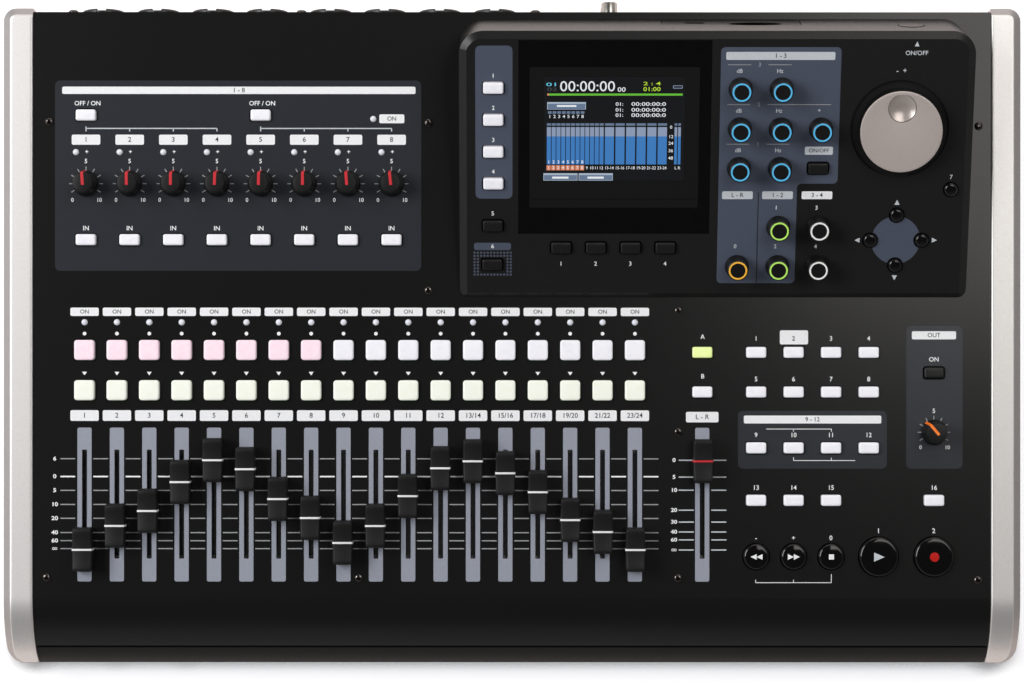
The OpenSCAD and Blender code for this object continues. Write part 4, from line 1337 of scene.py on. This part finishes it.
def monitor_print(sheet):
    """The field behind the monitor knob and its key."""
    holes = [key_hole((MONITOR_U, MONITOR_KEY_V))]
    holes += [circle((MONITOR_U, MONITOR_KNOB_V), BUSH_HOLE / 2)]
    sheet.field(span(200, 228.5, -63.3, 8.8, FIELD_CORNER), holes, input_ink)
    sheet.plate("OUT", (MONITOR_U, 4.05), (22.4, 4.1), 3.1, corner=SLIM_CORNER)
    sheet.words("ON", (MONITOR_U, -8.2), 3.2, white_ink)
    sheet.words("5", (MONITOR_U, -34.2), 3.2, white_ink)
    sheet.words("0", (MONITOR_U - 6.8, -52.6), 2.7, white_ink)
    sheet.words("10", (MONITOR_U + 6.8, -52.6), 2.7, white_ink)


def input_print(sheet):
    """The field behind the controls of the eight inputs."""
    holes = [key_hole(place) for place in PHANTOM]
    holes += [key_hole((u, SOURCE_V)) for u in INPUTS]
    holes += [circle((u, TRIM_V), BUSH_HOLE / 2) for u in INPUTS]
    holes += [circle((u + OVERLOAD_LED[0], OVERLOAD_LED[1]), LED_HOLE / 2, 16) for u in INPUTS]
    holes += [circle(GUITAR_LED, LED_HOLE / 2, 16)]
    sheet.field(span(-231.8, -46.1, 36.5, 132.6, FIELD_CORNER), holes, input_ink)
    sheet.plate("1 - 8", (-138.6, 127.65), (179.2, 3.7), 3.3)
    for i, (u, v) in enumerate(PHANTOM):
        sheet.words("OFF / ON", (u + 0.8, v + 5.9), 3.2, white_ink)
        stems = INPUTS[4 * i:4 * i + 4]
        bracket(sheet, stems[0], stems[3], 108.4, stems, 1.5, STEM_LINE, pale_ink)
        sheet.line((stems[0], 108.4), (stems[0], 109.4), STEM_LINE, pale_ink)
    sheet.plate("ON", (-61, 113.3), (12.7, 4.5), 3.0)
    for i, u in enumerate(INPUTS):
        sheet.plate(str(i + 1), (u, 102.7), (14.5, 5.1), 3.5)
        sheet.words("+", (u + 0.4, 96.5), 3.2, white_ink)
        sheet.words("5", (u, 91.8), 3.1, white_ink)
        sheet.words("0", (u - 6.9, 72.2), 2.8, white_ink)
        sheet.words("10", (u + 6.7, 72.2), 2.8, white_ink)
        sheet.words("IN", (u, 57.9), 3.2, white_ink)


def panel_print():
    """All the ink of the main panel, with its dial marks and the lines of its level scales."""
    sheet = Print()
    channel_print(sheet)
    master_print(sheet)
    key_print(sheet)
    locate_print(sheet)
    monitor_print(sheet)
    input_print(sheet)
    sheet.done("panel_print", PANEL)
    dials = lifted([(u, TRIM_V) for u in INPUTS], MARK)
    ticks = {
        "Marks": 9, "Inner radius": 6.6, "Outer radius": 8.6, "Mark width": 0.45,
        "First angle": radians(-120), "Step": radians(30), "Finish": grey_ink,
    }
    grow("trim_dial_marks", DIAL_TREE, dials, ticks, PANEL)
    ticks.update({"Inner radius": 6.2, "Outer radius": 8.3})
    grow("monitor_dial_marks", DIAL_TREE, [(MONITOR_U, MONITOR_KNOB_V, MARK)], ticks, PANEL)
    gaps = [-225.3] + [u + 8.21 for u in COLUMNS]
    lines = [(u, v, MARK) for v, _ in SCALE_ROWS for u in gaps]
    bar = {"Bar width": 7.5, "Bar length": 0.55, "Finish": grey_ink}
    grow("channel_scale_lines", BAR_TREE, lines, bar, PANEL)
    lines = [(u, SCALE_ROWS[1][0], OVER_MARK) for u in gaps]
    bar = {"Bar width": 7.5, "Bar length": 0.75, "Finish": white_ink}
    grow("channel_zero_lines", BAR_TREE, lines, bar, PANEL)
    lines = [(u, v, MARK) for v, _ in MASTER_ROWS for u in (88.4, 104.95)]
    bar = {"Bar width": 7.65, "Bar length": 0.6, "Finish": pale_ink}
    grow("master_scale_lines", BAR_TREE, lines, bar, PANEL)


panel_print()

# Ink on the display housing


def side_strip_print(sheet):
    """The strip at the left of the screen, and numbers for the keys beside and below it."""
    holes = [key_hole(place) for place in SIDE_KEYS]
    sheet.field(span(-18.3, 0.2, 48.8, 126.1, FIELD_CORNER), holes, slate_ink)
    for i, (u, s) in enumerate(SIDE_KEYS):
        sheet.words(str(4 - i), (u, s + 5.9), 3.0, white_ink)
    sheet.words("5", (MENU_KEY[0], MENU_KEY[1] + 6.1), 3.0, white_ink)
    sheet.face(span(-19.2, -0.5, 22.3, 26.1, 1.2), slate_ink)
    sheet.words("6", (-9.8, 24.2), 3.0, white_ink)
    for i, (u, s) in enumerate(SOFT_KEYS):
        sheet.words(str(i + 1), (u, s - 8.5), 3.0, white_ink)


def tone_print(sheet):
    """The stepped field behind the encoders, with its labels and lines."""
    corners = [(103.4, 5.2), (142.8, 5.2), (142.8, 56.5), (163, 56.5), (163, 125.4), (103.4, 125.4)]
    holes = [circle(place, BUSH_HOLE / 2) for place in ENCODERS[:9] + [ENCODERS[10]]]
    holes += [key_hole(TONE_KEY)]
    sheet.field(eased(corners, 2.2), holes, slate_ink)
    sheet.line((123.5, 5.6), (123.5, 52), 0.5, dark_ink)
    sheet.plate("1 - 3", (133, 121), (54, 4), 3.2, pale_ink, SLIM_CORNER)
    for row, (s, end) in enumerate(((116.6, 138.5), (96.6, 158.6), (76.6, 138.5))):
        sheet.line((107, s), (118.4, s), 0.35, grey_ink)
        sheet.line((127, s), (end, s), 0.35, grey_ink)
        sheet.words(str(3 - row), (122.7, s), 2.8, grey_ink)
        sheet.words("dB", (112.8, s - 3.2), 2.8, pale_ink)
        sheet.words("Hz", (132.8, s - 3.2), 2.8, pale_ink)
    sheet.words("+", (152.8, 93.6), 2.8, pale_ink)
    sheet.plate("ON/OFF", (153.2, 73.3), (14, 4.1), 2.8, pale_ink, SLIM_CORNER)
    sends = [(113.0, "L - R", pale_ink), (133.1, "1 - 2", pale_ink), (152.9, "3 - 4", white_ink)]
    for u, words, ink in sends:
        sheet.plate(words, (u, 50.6), (15.4, 4), 3.1, ink, SLIM_CORNER)
    for u, top, low in ((132.6, "1", "2"), (152.9, "3", "4")):
        sheet.words(top, (u, 44.1), 2.9, white_ink)
        sheet.words(low, (u, 24.2), 2.9, pale_ink)
    sheet.words("0", (112.4, 24.2), 2.9, pale_ink)


def pointer_print(sheet):
    """Marks near the wheel, and the disc and pointers of the cursor keys."""
    sheet.face(triangle((200.3, 125.8), 2.4, 1.2, 90), pale_ink, MARK)
    sheet.words("ON/OFF", (200.3, 122.4), 3.1, pale_ink)
    sheet.words("-  +", (193.1, 113.6), 3.6, pale_ink)
    sheet.words("7", (219.8, 59.9), 3.0, pale_ink)
    for angle in QUARTERS:
        along = Vector((cos(radians(angle)), sin(radians(angle))))
        base = Vector(CURSOR) + along * 18.2
        sheet.face(triangle(base, 2.6, 1.3, angle), pale_ink, MARK)
    sheet.field(notched_disc(CURSOR, 12.3, CURSOR_REACH, CURSOR_ROUND / 2 + INK_GAP), [], slate_ink)


INK_DOT = 1.1
INK_DOT_CORNER = 0.35
DOTS_AT = (-19.0, 9.6)
DOTS_STEP = (1.66, 1.62)
DOTS_COUNT = (12, 8)
DOTS_ASIDE = 0.1


def dotted_frame():
    """Rows of slate dots round the home key."""
    dot = bmesh.new()
    corners = [dot.verts.new((x, y, 0)) for x, y in rounded(INK_DOT, INK_DOT, INK_DOT_CORNER, 2)]
    dot.faces.new(corners)
    places = []
    for column in range(DOTS_COUNT[0]):
        for row in range(DOTS_COUNT[1]):
            u = DOTS_AT[0] + DOTS_STEP[0] * column
            s = DOTS_AT[1] + DOTS_STEP[1] * row
            beside = abs(u - HOME_KEY[0]) > BAR_KEY[0] / 2 + INK_DOT
            if beside or abs(s - HOME_KEY[1]) > BAR_KEY[1] / 2 + INK_DOT:
                places.append((u + DOTS_ASIDE, s, FIELD))
    inputs = {"Piece": pattern("dot", dot), "Size": 1.0, "Finish": slate_ink}
    grow("home_key_dots", PIECE_TREE, places, inputs, SCREEN)


screen_sheet = Print()
side_strip_print(screen_sheet)
tone_print(screen_sheet)
pointer_print(screen_sheet)
screen_sheet.done("screen_print", SCREEN)
dotted_frame()

# Picture on the colour screen, in its own grid of dots

window_black = grained("window_black", srgb(15, 14, 15), srgb(20, 18, 19), 0.6, 0.3)
window_edge = grained("window_edge", srgb(7, 7, 7), srgb(10, 9, 9), 0.6, 0.3)
lit_black = lit_dots("lit_black", srgb(24, 25, 27), 0.8)
lit_white = lit_dots("lit_white", srgb(236, 240, 244))
lit_green = lit_dots("lit_green", srgb(104, 190, 58))
lit_lime = lit_dots("lit_lime", srgb(190, 226, 62))
lit_cyan = lit_dots("lit_cyan", srgb(104, 196, 224))
lit_dim = lit_dots("lit_dim", srgb(66, 70, 74))
lit_blue = lit_dots("lit_blue", srgb(64, 124, 190))
lit_pale = lit_dots("lit_pale", srgb(142, 156, 182))
lit_steel = lit_dots("lit_steel", srgb(104, 122, 148))
lit_light = lit_dots("lit_light", srgb(172, 186, 202))
lit_orange = lit_dots("lit_orange", srgb(222, 140, 108))
DOT = 0.22375
DOT_WIDTH = 0.2198
PICTURE_AT = (15.7, 58.1)
PICTURE_SIZE = (320, 234)
PICTURE_EDGE = 1.5
DIGIT_WEIGHT = 0.008
WINDOW_LEVEL = 0.02
RULE_LEVEL = 0.025
EDGE_LEVEL = 0.03
UNLIT_LEVEL = 0.04


def dot_at(x, y):
    """A place on the housing's sloping face, from its place in dots."""
    return PICTURE_AT[0] + DOT_WIDTH * x, PICTURE_AT[1] + DOT * y


def dot_span(x0, x1, y0, y1):
    """A patch of the picture, from its edges in dots."""
    return [dot_at(x, y) for x, y in ((x0, y0), (x1, y0), (x1, y1), (x0, y1))]


def screen_picture():
    """Counters, level bars and numbers, laid out in dots from the picture's lower left corner."""
    sheet = Print(LENS_TOP)

    def patch(x0, x1, y0, y1, finish, level=PLATE):
        sheet.face(dot_span(x0, x1, y0, y1), finish, level)

    def digits(words, x, y, size, finish, squeeze=1.0, weight=DIGIT_WEIGHT):
        sheet.words(words, dot_at(x, y), DOT * size, finish, OVER_MARK, weight, squeeze * DOT_WIDTH / DOT)

    def row(words, x0, x1, y, size, finish, weight=DIGIT_WEIGHT):
        """Digits that fill a row from one dot to another."""
        glyphs = glyph_mesh(words, weight).vertices
        width = max(v.co.x for v in glyphs) - min(v.co.x for v in glyphs)
        digits(words, (x0 + x1) / 2, y, size, finish, (x1 - x0) / (size * width), weight)

    wide, high = PICTURE_SIZE
    sheet.face(span(8.7, 93.1, 44.2, 115.4, 0.8), window_black, WINDOW_LEVEL)
    sheet.face(span(9.3, 92.5, 48.2, 49.0, 0.1, 1), window_edge, RULE_LEVEL)
    patch(-PICTURE_EDGE, wide + PICTURE_EDGE, -PICTURE_EDGE, high + PICTURE_EDGE, window_edge, EDGE_LEVEL)
    patch(0, wide, 0, high, lit_black, UNLIT_LEVEL)
    row("00:00:00", 37, 161, 212, 33, lit_white, 0)
    row("00", 167, 185, 205.5, 14, lit_white)
    row("01", 8, 30, 217, 11, lit_cyan)
    row("02", 8, 30, 206, 11, lit_dim)
    row("2 : 4", 225, 264, 219, 11, lit_lime)
    row("01:00", 225, 264, 206.5, 13, lit_lime)
    loop = [(293, 209), (313, 209), (313, 214.5), (293, 214.5), (293, 209)]
    sheet.path([dot_at(x, y) for x, y in loop], 0.3, lit_pale, MARK)
    patch(8, 314, 192.4, 197, lit_green)
    patch(8, 12, 192.4, 197, lit_orange, MARK)
    patch(8, 95.5, 161, 177.7, lit_light)
    patch(9.5, 94, 161.5, 174, lit_steel, MARK)
    patch(30, 74, 167, 171, lit_white, OVER_MARK)
    for i in range(8):
        patch(9.8 + 10.6 * i, 18 + 10.6 * i, 151.4, 157.2, lit_steel)
        digits(str(i + 1), 14 + 10.6 * i, 145, 10, lit_white, 1.2)
    for y in (173, 160, 148):
        row("01:", 163, 180, y, 11, lit_white)
        row("00:00:00:0", 198.6, 276.6, y, 11.5, lit_white)
    single = 10.87
    double = 24
    bars = [(7.5 + single * i, 9.2) for i in range(12)] + [(139.3 + double * i, 20.5) for i in range(6)]
    bars += [(297, 6), (305.2, 6)]
    for x, width in bars:
        patch(x, x + width, 124.6, 130, lit_steel)
        patch(x, x + width, 100.4, 121.3, lit_pale)
        patch(x, x + width, 36.8, 100.4, lit_blue)
    for number, y in (("0", 121), ("12", 99.5), ("24", 84.5), ("36", 67.7), ("48", 51)):
        digits(number, 289, y, 10, lit_white, 1.1)
    for i in range(8):
        x = 12.1 + single * i
        digits(str(i + 1), x, 42, 10, lit_white, 1.1)
        patch(x - 5.2, x + 4.3, 23.4, 34.7, lit_orange)
        digits(str(i + 1), x - 0.4, 29, 10, lit_white)
    for i in range(4):
        digits(str(i + 9), 98.6 + single * i, 28.6, 9.5, lit_white)
    for i in range(6):
        digits(f"{13 + 2 * i}-{14 + 2 * i}", 149.5 + double * i, 28.6, 9.5, lit_white, 0.95)
    digits("L R", 304.5, 28.6, 9.5, lit_white)
    for x in (0, 80.3):
        patch(x, x + 77.5, 0, 16.7, lit_light)
        patch(x + 1.2, x + 76.3, 1, 12.6, lit_steel, MARK)
        patch(x + 20, x + 57, 4.5, 9, lit_white, OVER_MARK)
    sheet.done("screen_picture", SCREEN)


screen_picture()

# Sockets

COMBO_U = [-210.6, -182.2, -154.1, -126.2, -93.4, -65.6, -37.2, -9]
JACK_Z = 40
PHONO_U = 50.5
PHONO_Z = [30, 16]
PHONO_TIP = 170.35 - REAR_FACE
DIN_U = [84, 108]
LINE_U = [138, 157, 183, 199]
INLET_U = 224
PHONES_U = [-206, -170.4]
PHONES_Z = 14.2

# The order of the rear sockets' finishes

PLASTIC, DARK, GILT, NICKEL, RED, WHITE = range(6)
SOCKET_FINISHES = [jack_black, hole_and_shade_black, gilt, nickel, phono_red, phono_white]

COLLAR = (8.7, 11.3)
COLLAR_ENDS = (-8, 6.4)
COLLAR_GAP = 27
COLLAR_STEPS = 56
COLLAR_EDGES = (0.6, 0.8)
COMBO_THROAT = [(8.75, -8), (3.3, -8), (3.25, -20), (0, -20)]
COMBO_CORE = [(5.2, -8), (5.2, -2.2), (4.7, -1.8), (3.4, -1.8), (3.3, -8)]
COMBO_CONTACT = [(1.1, -7.9), (1.1, -6.5), (0.7, -6.2), (0, -6.2)]
CONTACT_REACH = 6.9
LATCH = (4.9, 2.6)
LATCH_Y = -9.9
LATCH_HEIGHTS = (-6, 4.8, 5.4)


def collar(bm):
    """A ring with a gap left open round its top side, which is local -Y."""
    inner, outer = COLLAR
    low, high = COLLAR_ENDS
    inner_edge, outer_edge = COLLAR_EDGES
    profile = [
        (inner, low), (outer, low), (outer, high - outer_edge), (outer - outer_edge, high),
        (inner + inner_edge, high), (inner, high - inner_edge),
    ]
    sections = []
    for i in range(COLLAR_STEPS + 1):
        angle = radians(-90 + COLLAR_GAP / 2 + (360 - COLLAR_GAP) * i / COLLAR_STEPS)
        along = Vector((cos(angle), sin(angle)))
        sections.append([bm.verts.new((along.x * reach, along.y * reach, z)) for reach, z in profile])
    for here, ahead in zip(sections, sections[1:]):
        for i in range(len(profile)):
            j = (i + 1) % len(profile)
            bm.faces.new((here[i], ahead[i], ahead[j], here[j]))
    bm.faces.new(sections[0])
    bm.faces.new(sections[-1][::-1])


def combo_socket(u):
    """A locking microphone and line socket: collar, core, three contacts and a latch."""
    bm = bmesh.new()
    collar(bm)
    lathe(bm, COMBO_THROAT, segments=40, finish=DARK)
    lathe(bm, COMBO_CORE, segments=40, finish=PLASTIC)
    for angle in (90, -30, 210):
        x = CONTACT_REACH * cos(radians(angle))
        y = CONTACT_REACH * sin(radians(angle))
        lathe(bm, COMBO_CONTACT, (x, y), 16, GILT)
    skin(bm, at_heights(rounded(*LATCH, 0.4, 2, (0, LATCH_Y)), LATCH_HEIGHTS), PLASTIC)
    bm.transform(shifted(u, -JACK_Z, 0))
    return bm


NUT_RADIUS = 5.8
NUT_ENDS = (0, 2.3)
LINE_BUSH = [(4.9, 0), (4.9, 2.7), (4.6, 3), (3.5, 3), (3.25, 2.7), (3.25, -14), (0, -14)]


def line_socket(bm, at):
    """A threaded bush with a hexagon nut."""
    skin(bm, at_heights(circle(at, NUT_RADIUS, 6), NUT_ENDS), NICKEL)
    lathe(bm, LINE_BUSH, at, 40, NICKEL)


def phono_socket(bm, at, insert):
    """A plated sleeve with a coloured insert round its dark throat."""
    tip = PHONO_TIP
    sleeve = [(6.1, 0), (6.1, 1.2), (4.15, 1.2), (4.15, tip - 0.5), (3.9, tip), (3.2, tip)]
    lathe(bm, sleeve, at, 40, NICKEL)
    lathe(bm, [(3.2, tip), (3.1, tip - 0.8), (1.9, tip - 0.8)], at, 40, insert)
    lathe(bm, [(1.9, tip - 0.8), (1.7, tip - 1), (1.7, tip - 6), (0, tip - 6)], at, 24, DARK)


DIN_SHELL = [(8.5, -5), (8.5, 1), (7.0, 1), (7.0, -6), (0, -6)]
DIN_RIM = [(7.6, 0.9), (7.6, 1.05), (7.1, 1.05), (7.0, 0.4)]
DIN_CONTACT = [(0.9, -6), (0.9, -5.85), (0, -5.85)]
DIN_REACH = 4.8


def din_socket(bm, at):
    """A round socket with five contacts on a half circle."""
    lathe(bm, DIN_SHELL, at, 48, PLASTIC)
    lathe(bm, DIN_RIM, at, 48, NICKEL)
    for angle in (0, 45, 90, 135, 180):
        x = at[0] + DIN_REACH * cos(radians(angle))
        y = at[1] + DIN_REACH * sin(radians(angle))
        lathe(bm, DIN_CONTACT, (x, y), 12, GILT)


INLET = (10, 11)
INLET_TOP = 0.6
INLET_HOLE = 3.1
INLET_PIN = [(1.0, -10), (1.0, -0.5), (0.8, 0), (0, 0)]


def inlet_socket(bm, at):
    """A square shell with a pin in its round throat."""
    outline = rounded(*INLET, 0.8, 3, at)
    skin(bm, at_heights(outline, (-5, 0.3, INLET_TOP)), PLASTIC, top=False)
    cover(bm, outline, circle(at, INLET_HOLE, 24), INLET_TOP)
    lathe(bm, [(INLET_HOLE, INLET_TOP), (INLET_HOLE, -10), (0, -10)], at, 24, DARK)
    lathe(bm, INLET_PIN, at, 16, NICKEL)


def rear_sockets():
    """The sockets of the rear wall, as one piece."""
    bm = bmesh.new()
    for u in COMBO_U:
        mesh = as_mesh("combo", combo_socket(u))
        bm.from_mesh(mesh)
        bpy.data.meshes.remove(mesh)
    for u in LINE_U:
        line_socket(bm, (u, -JACK_Z))
    for z, insert in zip(PHONO_Z, (WHITE, RED)):
        phono_socket(bm, (PHONO_U, -z), insert)
    for u in DIN_U:
        din_socket(bm, (u, -JACK_Z))
    inlet_socket(bm, (INLET_U, -JACK_Z))
    bmesh.ops.remove_doubles(bm, verts=bm.verts, dist=SEAM_GAP)
    place = on_rear(0, 0)
    piece = settle("rear_sockets", bm, place, SOCKET_FINISHES, "chassis", SOCKET_CREASE, closed=False)
    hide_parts("jacks")


PHONES_BUSH = [(5.8, 0), (5.8, 0.9), (5.5, 1.2), (3.5, 1.2), (3.25, 1.0), (3.25, -14), (0, -14)]


def front_sockets():
    """The two headphone sockets, as one piece."""
    bm = bmesh.new()
    for u in PHONES_U:
        lathe(bm, PHONES_BUSH, (u, PHONES_Z), 40)
    settle("front_sockets", bm, on_front(0, 0), [jack_black], "chassis", closed=False)


def oval(at, half_x, half_y, steps=32):
    return [(half_x * x + at[0], half_y * y + at[1]) for x, y in circle((0, 0), 1, steps)]


SLOPE_PLATE = (69.6, 16.6)
SLOPE_PLATE_U = 110
SLOPE_W = 12
SLOPE_SINK = -0.25
CARD_U = 122
CARD_SLOT = (26, 2.6)
CARD_NOTCH_Y = -2.6
CARD_NOTCH = (13.6, 4.4)
CARD_NOTCH_SINK = -0.9
DATA_U = 91.7
DATA_SLOT = (9.5, 3.6)
THROAT_CORNER = 0.3
THROAT_ENDS = (-3.4, -6)
TONGUE_MARGIN = 2.4
TONGUE = 0.7
TONGUE_ENDS = (-6, -3.8)


def slope_sockets():
    """The plate in the recess of the rear slope, and the dark throats of its card and data slots."""
    plate = Print(SLOPE_SINK)
    card_x = CARD_U - SLOPE_PLATE_U
    data_x = DATA_U - SLOPE_PLATE_U
    card_notch = oval((card_x, CARD_NOTCH_Y), *CARD_NOTCH)
    data_notch = rounded(*DATA_SLOT, THROAT_CORNER, 2, (data_x, 0))
    plate.field(rounded(*SLOPE_PLATE, 0.5, 2), [card_notch, data_notch], housing_plastic, 0)
    card_slot = rounded(*CARD_SLOT, THROAT_CORNER, 2, (card_x, 0))
    # The floor of the notch round the card slot takes the near black of holes: painted shade in the notch
    plate.field(card_notch, [card_slot], hole_and_shade_black, CARD_NOTCH_SINK)
    plate.done("slope_plate", on_rear_slope(SLOPE_PLATE_U, SLOPE_W))
    for name, u, size in (("card_throat", CARD_U, CARD_SLOT), ("data_throat", DATA_U, DATA_SLOT)):
        bm = bmesh.new()
        skin(bm, at_heights(rounded(*size, THROAT_CORNER, 2), THROAT_ENDS), 0, foot=False)
        tongue = rounded(size[0] - TONGUE_MARGIN, TONGUE, 0.15, 1)
        skin(bm, at_heights(tongue, TONGUE_ENDS), 1)
        settle(name, bm, on_rear_slope(u, SLOPE_W), [hole_and_shade_black, nickel], "chassis", closed=False)


def rear_print():
    """Numbers of the sockets, upright for someone behind the recorder."""
    sheet = Print()
    for i, u in enumerate(COMBO_U):
        sheet.words(str(i + 1), (-u, 22), 3.4, white_ink)
    for i, u in enumerate(LINE_U):
        sheet.words(str(i + 1), (-u, 26), 3.4, white_ink)
    for u, words in zip(DIN_U, ("IN", "OUT")):
        sheet.words(words, (-u, 24), 3.2, white_ink)
    for z, words in zip(PHONO_Z, ("L", "R")):
        sheet.words(words, (-PHONO_U - 9, z), 3.2, white_ink)
    sheet.done("rear_print", on_rear(0, 0) @ turned(180, "Z"))


rear_sockets()
front_sockets()
slope_sockets()
rear_print()

# Camera

CAMERA_HEIGHT = 1500
CAMERA_ROLL = 0.02
CAMERA_LENS = 104.42
CAMERA_SHIFT = -0.0003
camera_data = bpy.data.cameras.new("camera")
camera_data.lens = CAMERA_LENS
camera_data.shift_y = CAMERA_SHIFT
camera_data.sensor_width = 36
camera_data.clip_start = 0.05
camera_data.clip_end = 50
camera = bpy.data.objects.new("camera", camera_data)
eye = PANEL @ Vector((0, 0, CAMERA_HEIGHT))
camera.matrix_world = Matrix.Translation(eye) @ turned(PANEL_SLOPE, "X") @ turned(CAMERA_ROLL, "Z")
bpy.context.scene.collection.objects.link(camera)
bpy.context.scene.camera = camera

# Floor, world and lamps

FLOOR_HALF = 8
SHADE_REACH = 0.011
SHADE_POWER = 6.0
SHADE_COLOUR = (0.05, 0.045, 0.05, 1)
PAPER_COLOUR = (0.7, 0.66, 0.64, 1)
MIRRORED_TINT = (1, 0.8, 0.76, 1)
SEEN_TINT = (0.93, 0.96, 1, 1)
SEEN_GLOW = 0.66
MIRRORED_GLOW = 0.3


def pale_floor():
    """Paper that glows for the camera and in reflections, with a painted contact shadow from ambient
    occlusion where the recorder stands on it.
    """
    bm = bmesh.new()
    bmesh.ops.create_grid(bm, x_segments=1, y_segments=1, size=FLOOR_HALF)
    mesh = as_mesh("floor", bm)
    material, tree, shader = new_finish("floor_paper")
    links = tree.links
    # Ambient occlusion paints a contact shadow into both the paper's colour and its glow
    near = tree.nodes.new("ShaderNodeAmbientOcclusion")
    near.samples = 4
    near.inputs["Distance"].default_value = SHADE_REACH
    shade = math_node(tree, "POWER", near.outputs["AO"], SHADE_POWER)
    links.new(colour_mix(tree, shade, SHADE_COLOUR, PAPER_COLOUR), shader.inputs["Base Color"])
    shader.inputs["Roughness"].default_value = 0.9
    shader.inputs["Specular IOR Level"].default_value = 0.1
    rays = tree.nodes.new("ShaderNodeLightPath").outputs
    tint = colour_mix(tree, rays["Is Camera Ray"], MIRRORED_TINT, SEEN_TINT)
    links.new(tint, shader.inputs["Emission Color"])
    seen = math_node(tree, "MULTIPLY", shade, SEEN_GLOW)
    bounces = math_node(tree, "ADD", rays["Is Glossy Ray"], rays["Is Transmission Ray"])
    mirrored = math_node(tree, "MULTIPLY", bounces, MIRRORED_GLOW)
    glow = math_node(tree, "MULTIPLY_ADD", rays["Is Camera Ray"], seen, mirrored)
    links.new(glow, shader.inputs["Emission Strength"])
    mesh.materials.append(material)
    floor = bpy.data.objects.new("floor", mesh)
    bpy.context.scene.collection.objects.link(floor)


HORIZON_LIGHT = 0.4
OVERHEAD_LIGHT = 0.06
SIDE_LIGHT = 0.12
HORIZON_TOP = 0.25
OVERHEAD_START = 0.85


def studio_world():
    """Dark overhead, pale round the horizon behind and on the left, and white for the camera."""
    world = bpy.data.worlds.new("studio")
    bpy.context.scene.world = world
    world.use_nodes = True
    tree = world.node_tree
    nodes = tree.nodes
    links = tree.links
    background = nodes["Background"]
    place = nodes.new("ShaderNodeTexCoord")
    split = nodes.new("ShaderNodeSeparateXYZ")
    links.new(place.outputs["Generated"], split.inputs["Vector"])
    height = nodes.new("ShaderNodeMapRange")
    height.interpolation_type = "SMOOTHSTEP"
    height.inputs["From Min"].default_value = HORIZON_TOP
    height.inputs["From Max"].default_value = OVERHEAD_START
    height.inputs["To Max"].default_value = OVERHEAD_LIGHT
    links.new(split.outputs["Z"], height.inputs["Value"])
    leftward = math_node(tree, "MULTIPLY_ADD", split.outputs["X"], -SIDE_LIGHT, HORIZON_LIGHT)
    rearward = math_node(tree, "MULTIPLY_ADD", split.outputs["Y"], SIDE_LIGHT, leftward)
    links.new(rearward, height.inputs["To Min"])
    rays = nodes.new("ShaderNodeLightPath")
    level = nodes.new("ShaderNodeMix")
    level.data_type = "FLOAT"
    level.inputs[3].default_value = 1.0
    links.new(rays.outputs["Is Camera Ray"], level.inputs[0])
    links.new(height.outputs["Result"], level.inputs[2])
    links.new(level.outputs[0], background.inputs["Strength"])
    background.inputs["Color"].default_value = (1, 1, 1, 1)


def lamp(name, at, aim, size, power, colour=(1, 1, 1)):
    """An area lamp that faces a point, with places and sizes in metres."""
    light = bpy.data.lights.new(name, "AREA")
    light.shape = "RECTANGLE"
    light.size = size[0]
    light.size_y = size[1]
    light.energy = power
    light.color = colour
    holder = bpy.data.objects.new(name, light)
    holder.location = at
    holder.rotation_euler = (Vector(aim) - Vector(at)).to_track_quat("-Z", "Y").to_euler()
    bpy.context.scene.collection.objects.link(holder)


pale_floor()
studio_world()
lamp("key_lamp", (-1.48, 0.3, 1.6), (0, 0, 0), (1.2, 1.0), 31)
lamp("right_lamp", (0.85, 0.62, 1.66), (0.85, 0.62, 0), (1.1, 1.4), 12.8, (1, 0.97, 0.94))
lamp("rear_lamp", (0.2, 1.9, 0.9), (0, 0.1, 0.05), (2.0, 0.7), 6, (1, 0.88, 0.84))

scene = bpy.context.scene
scene.view_settings.view_transform = "Standard"
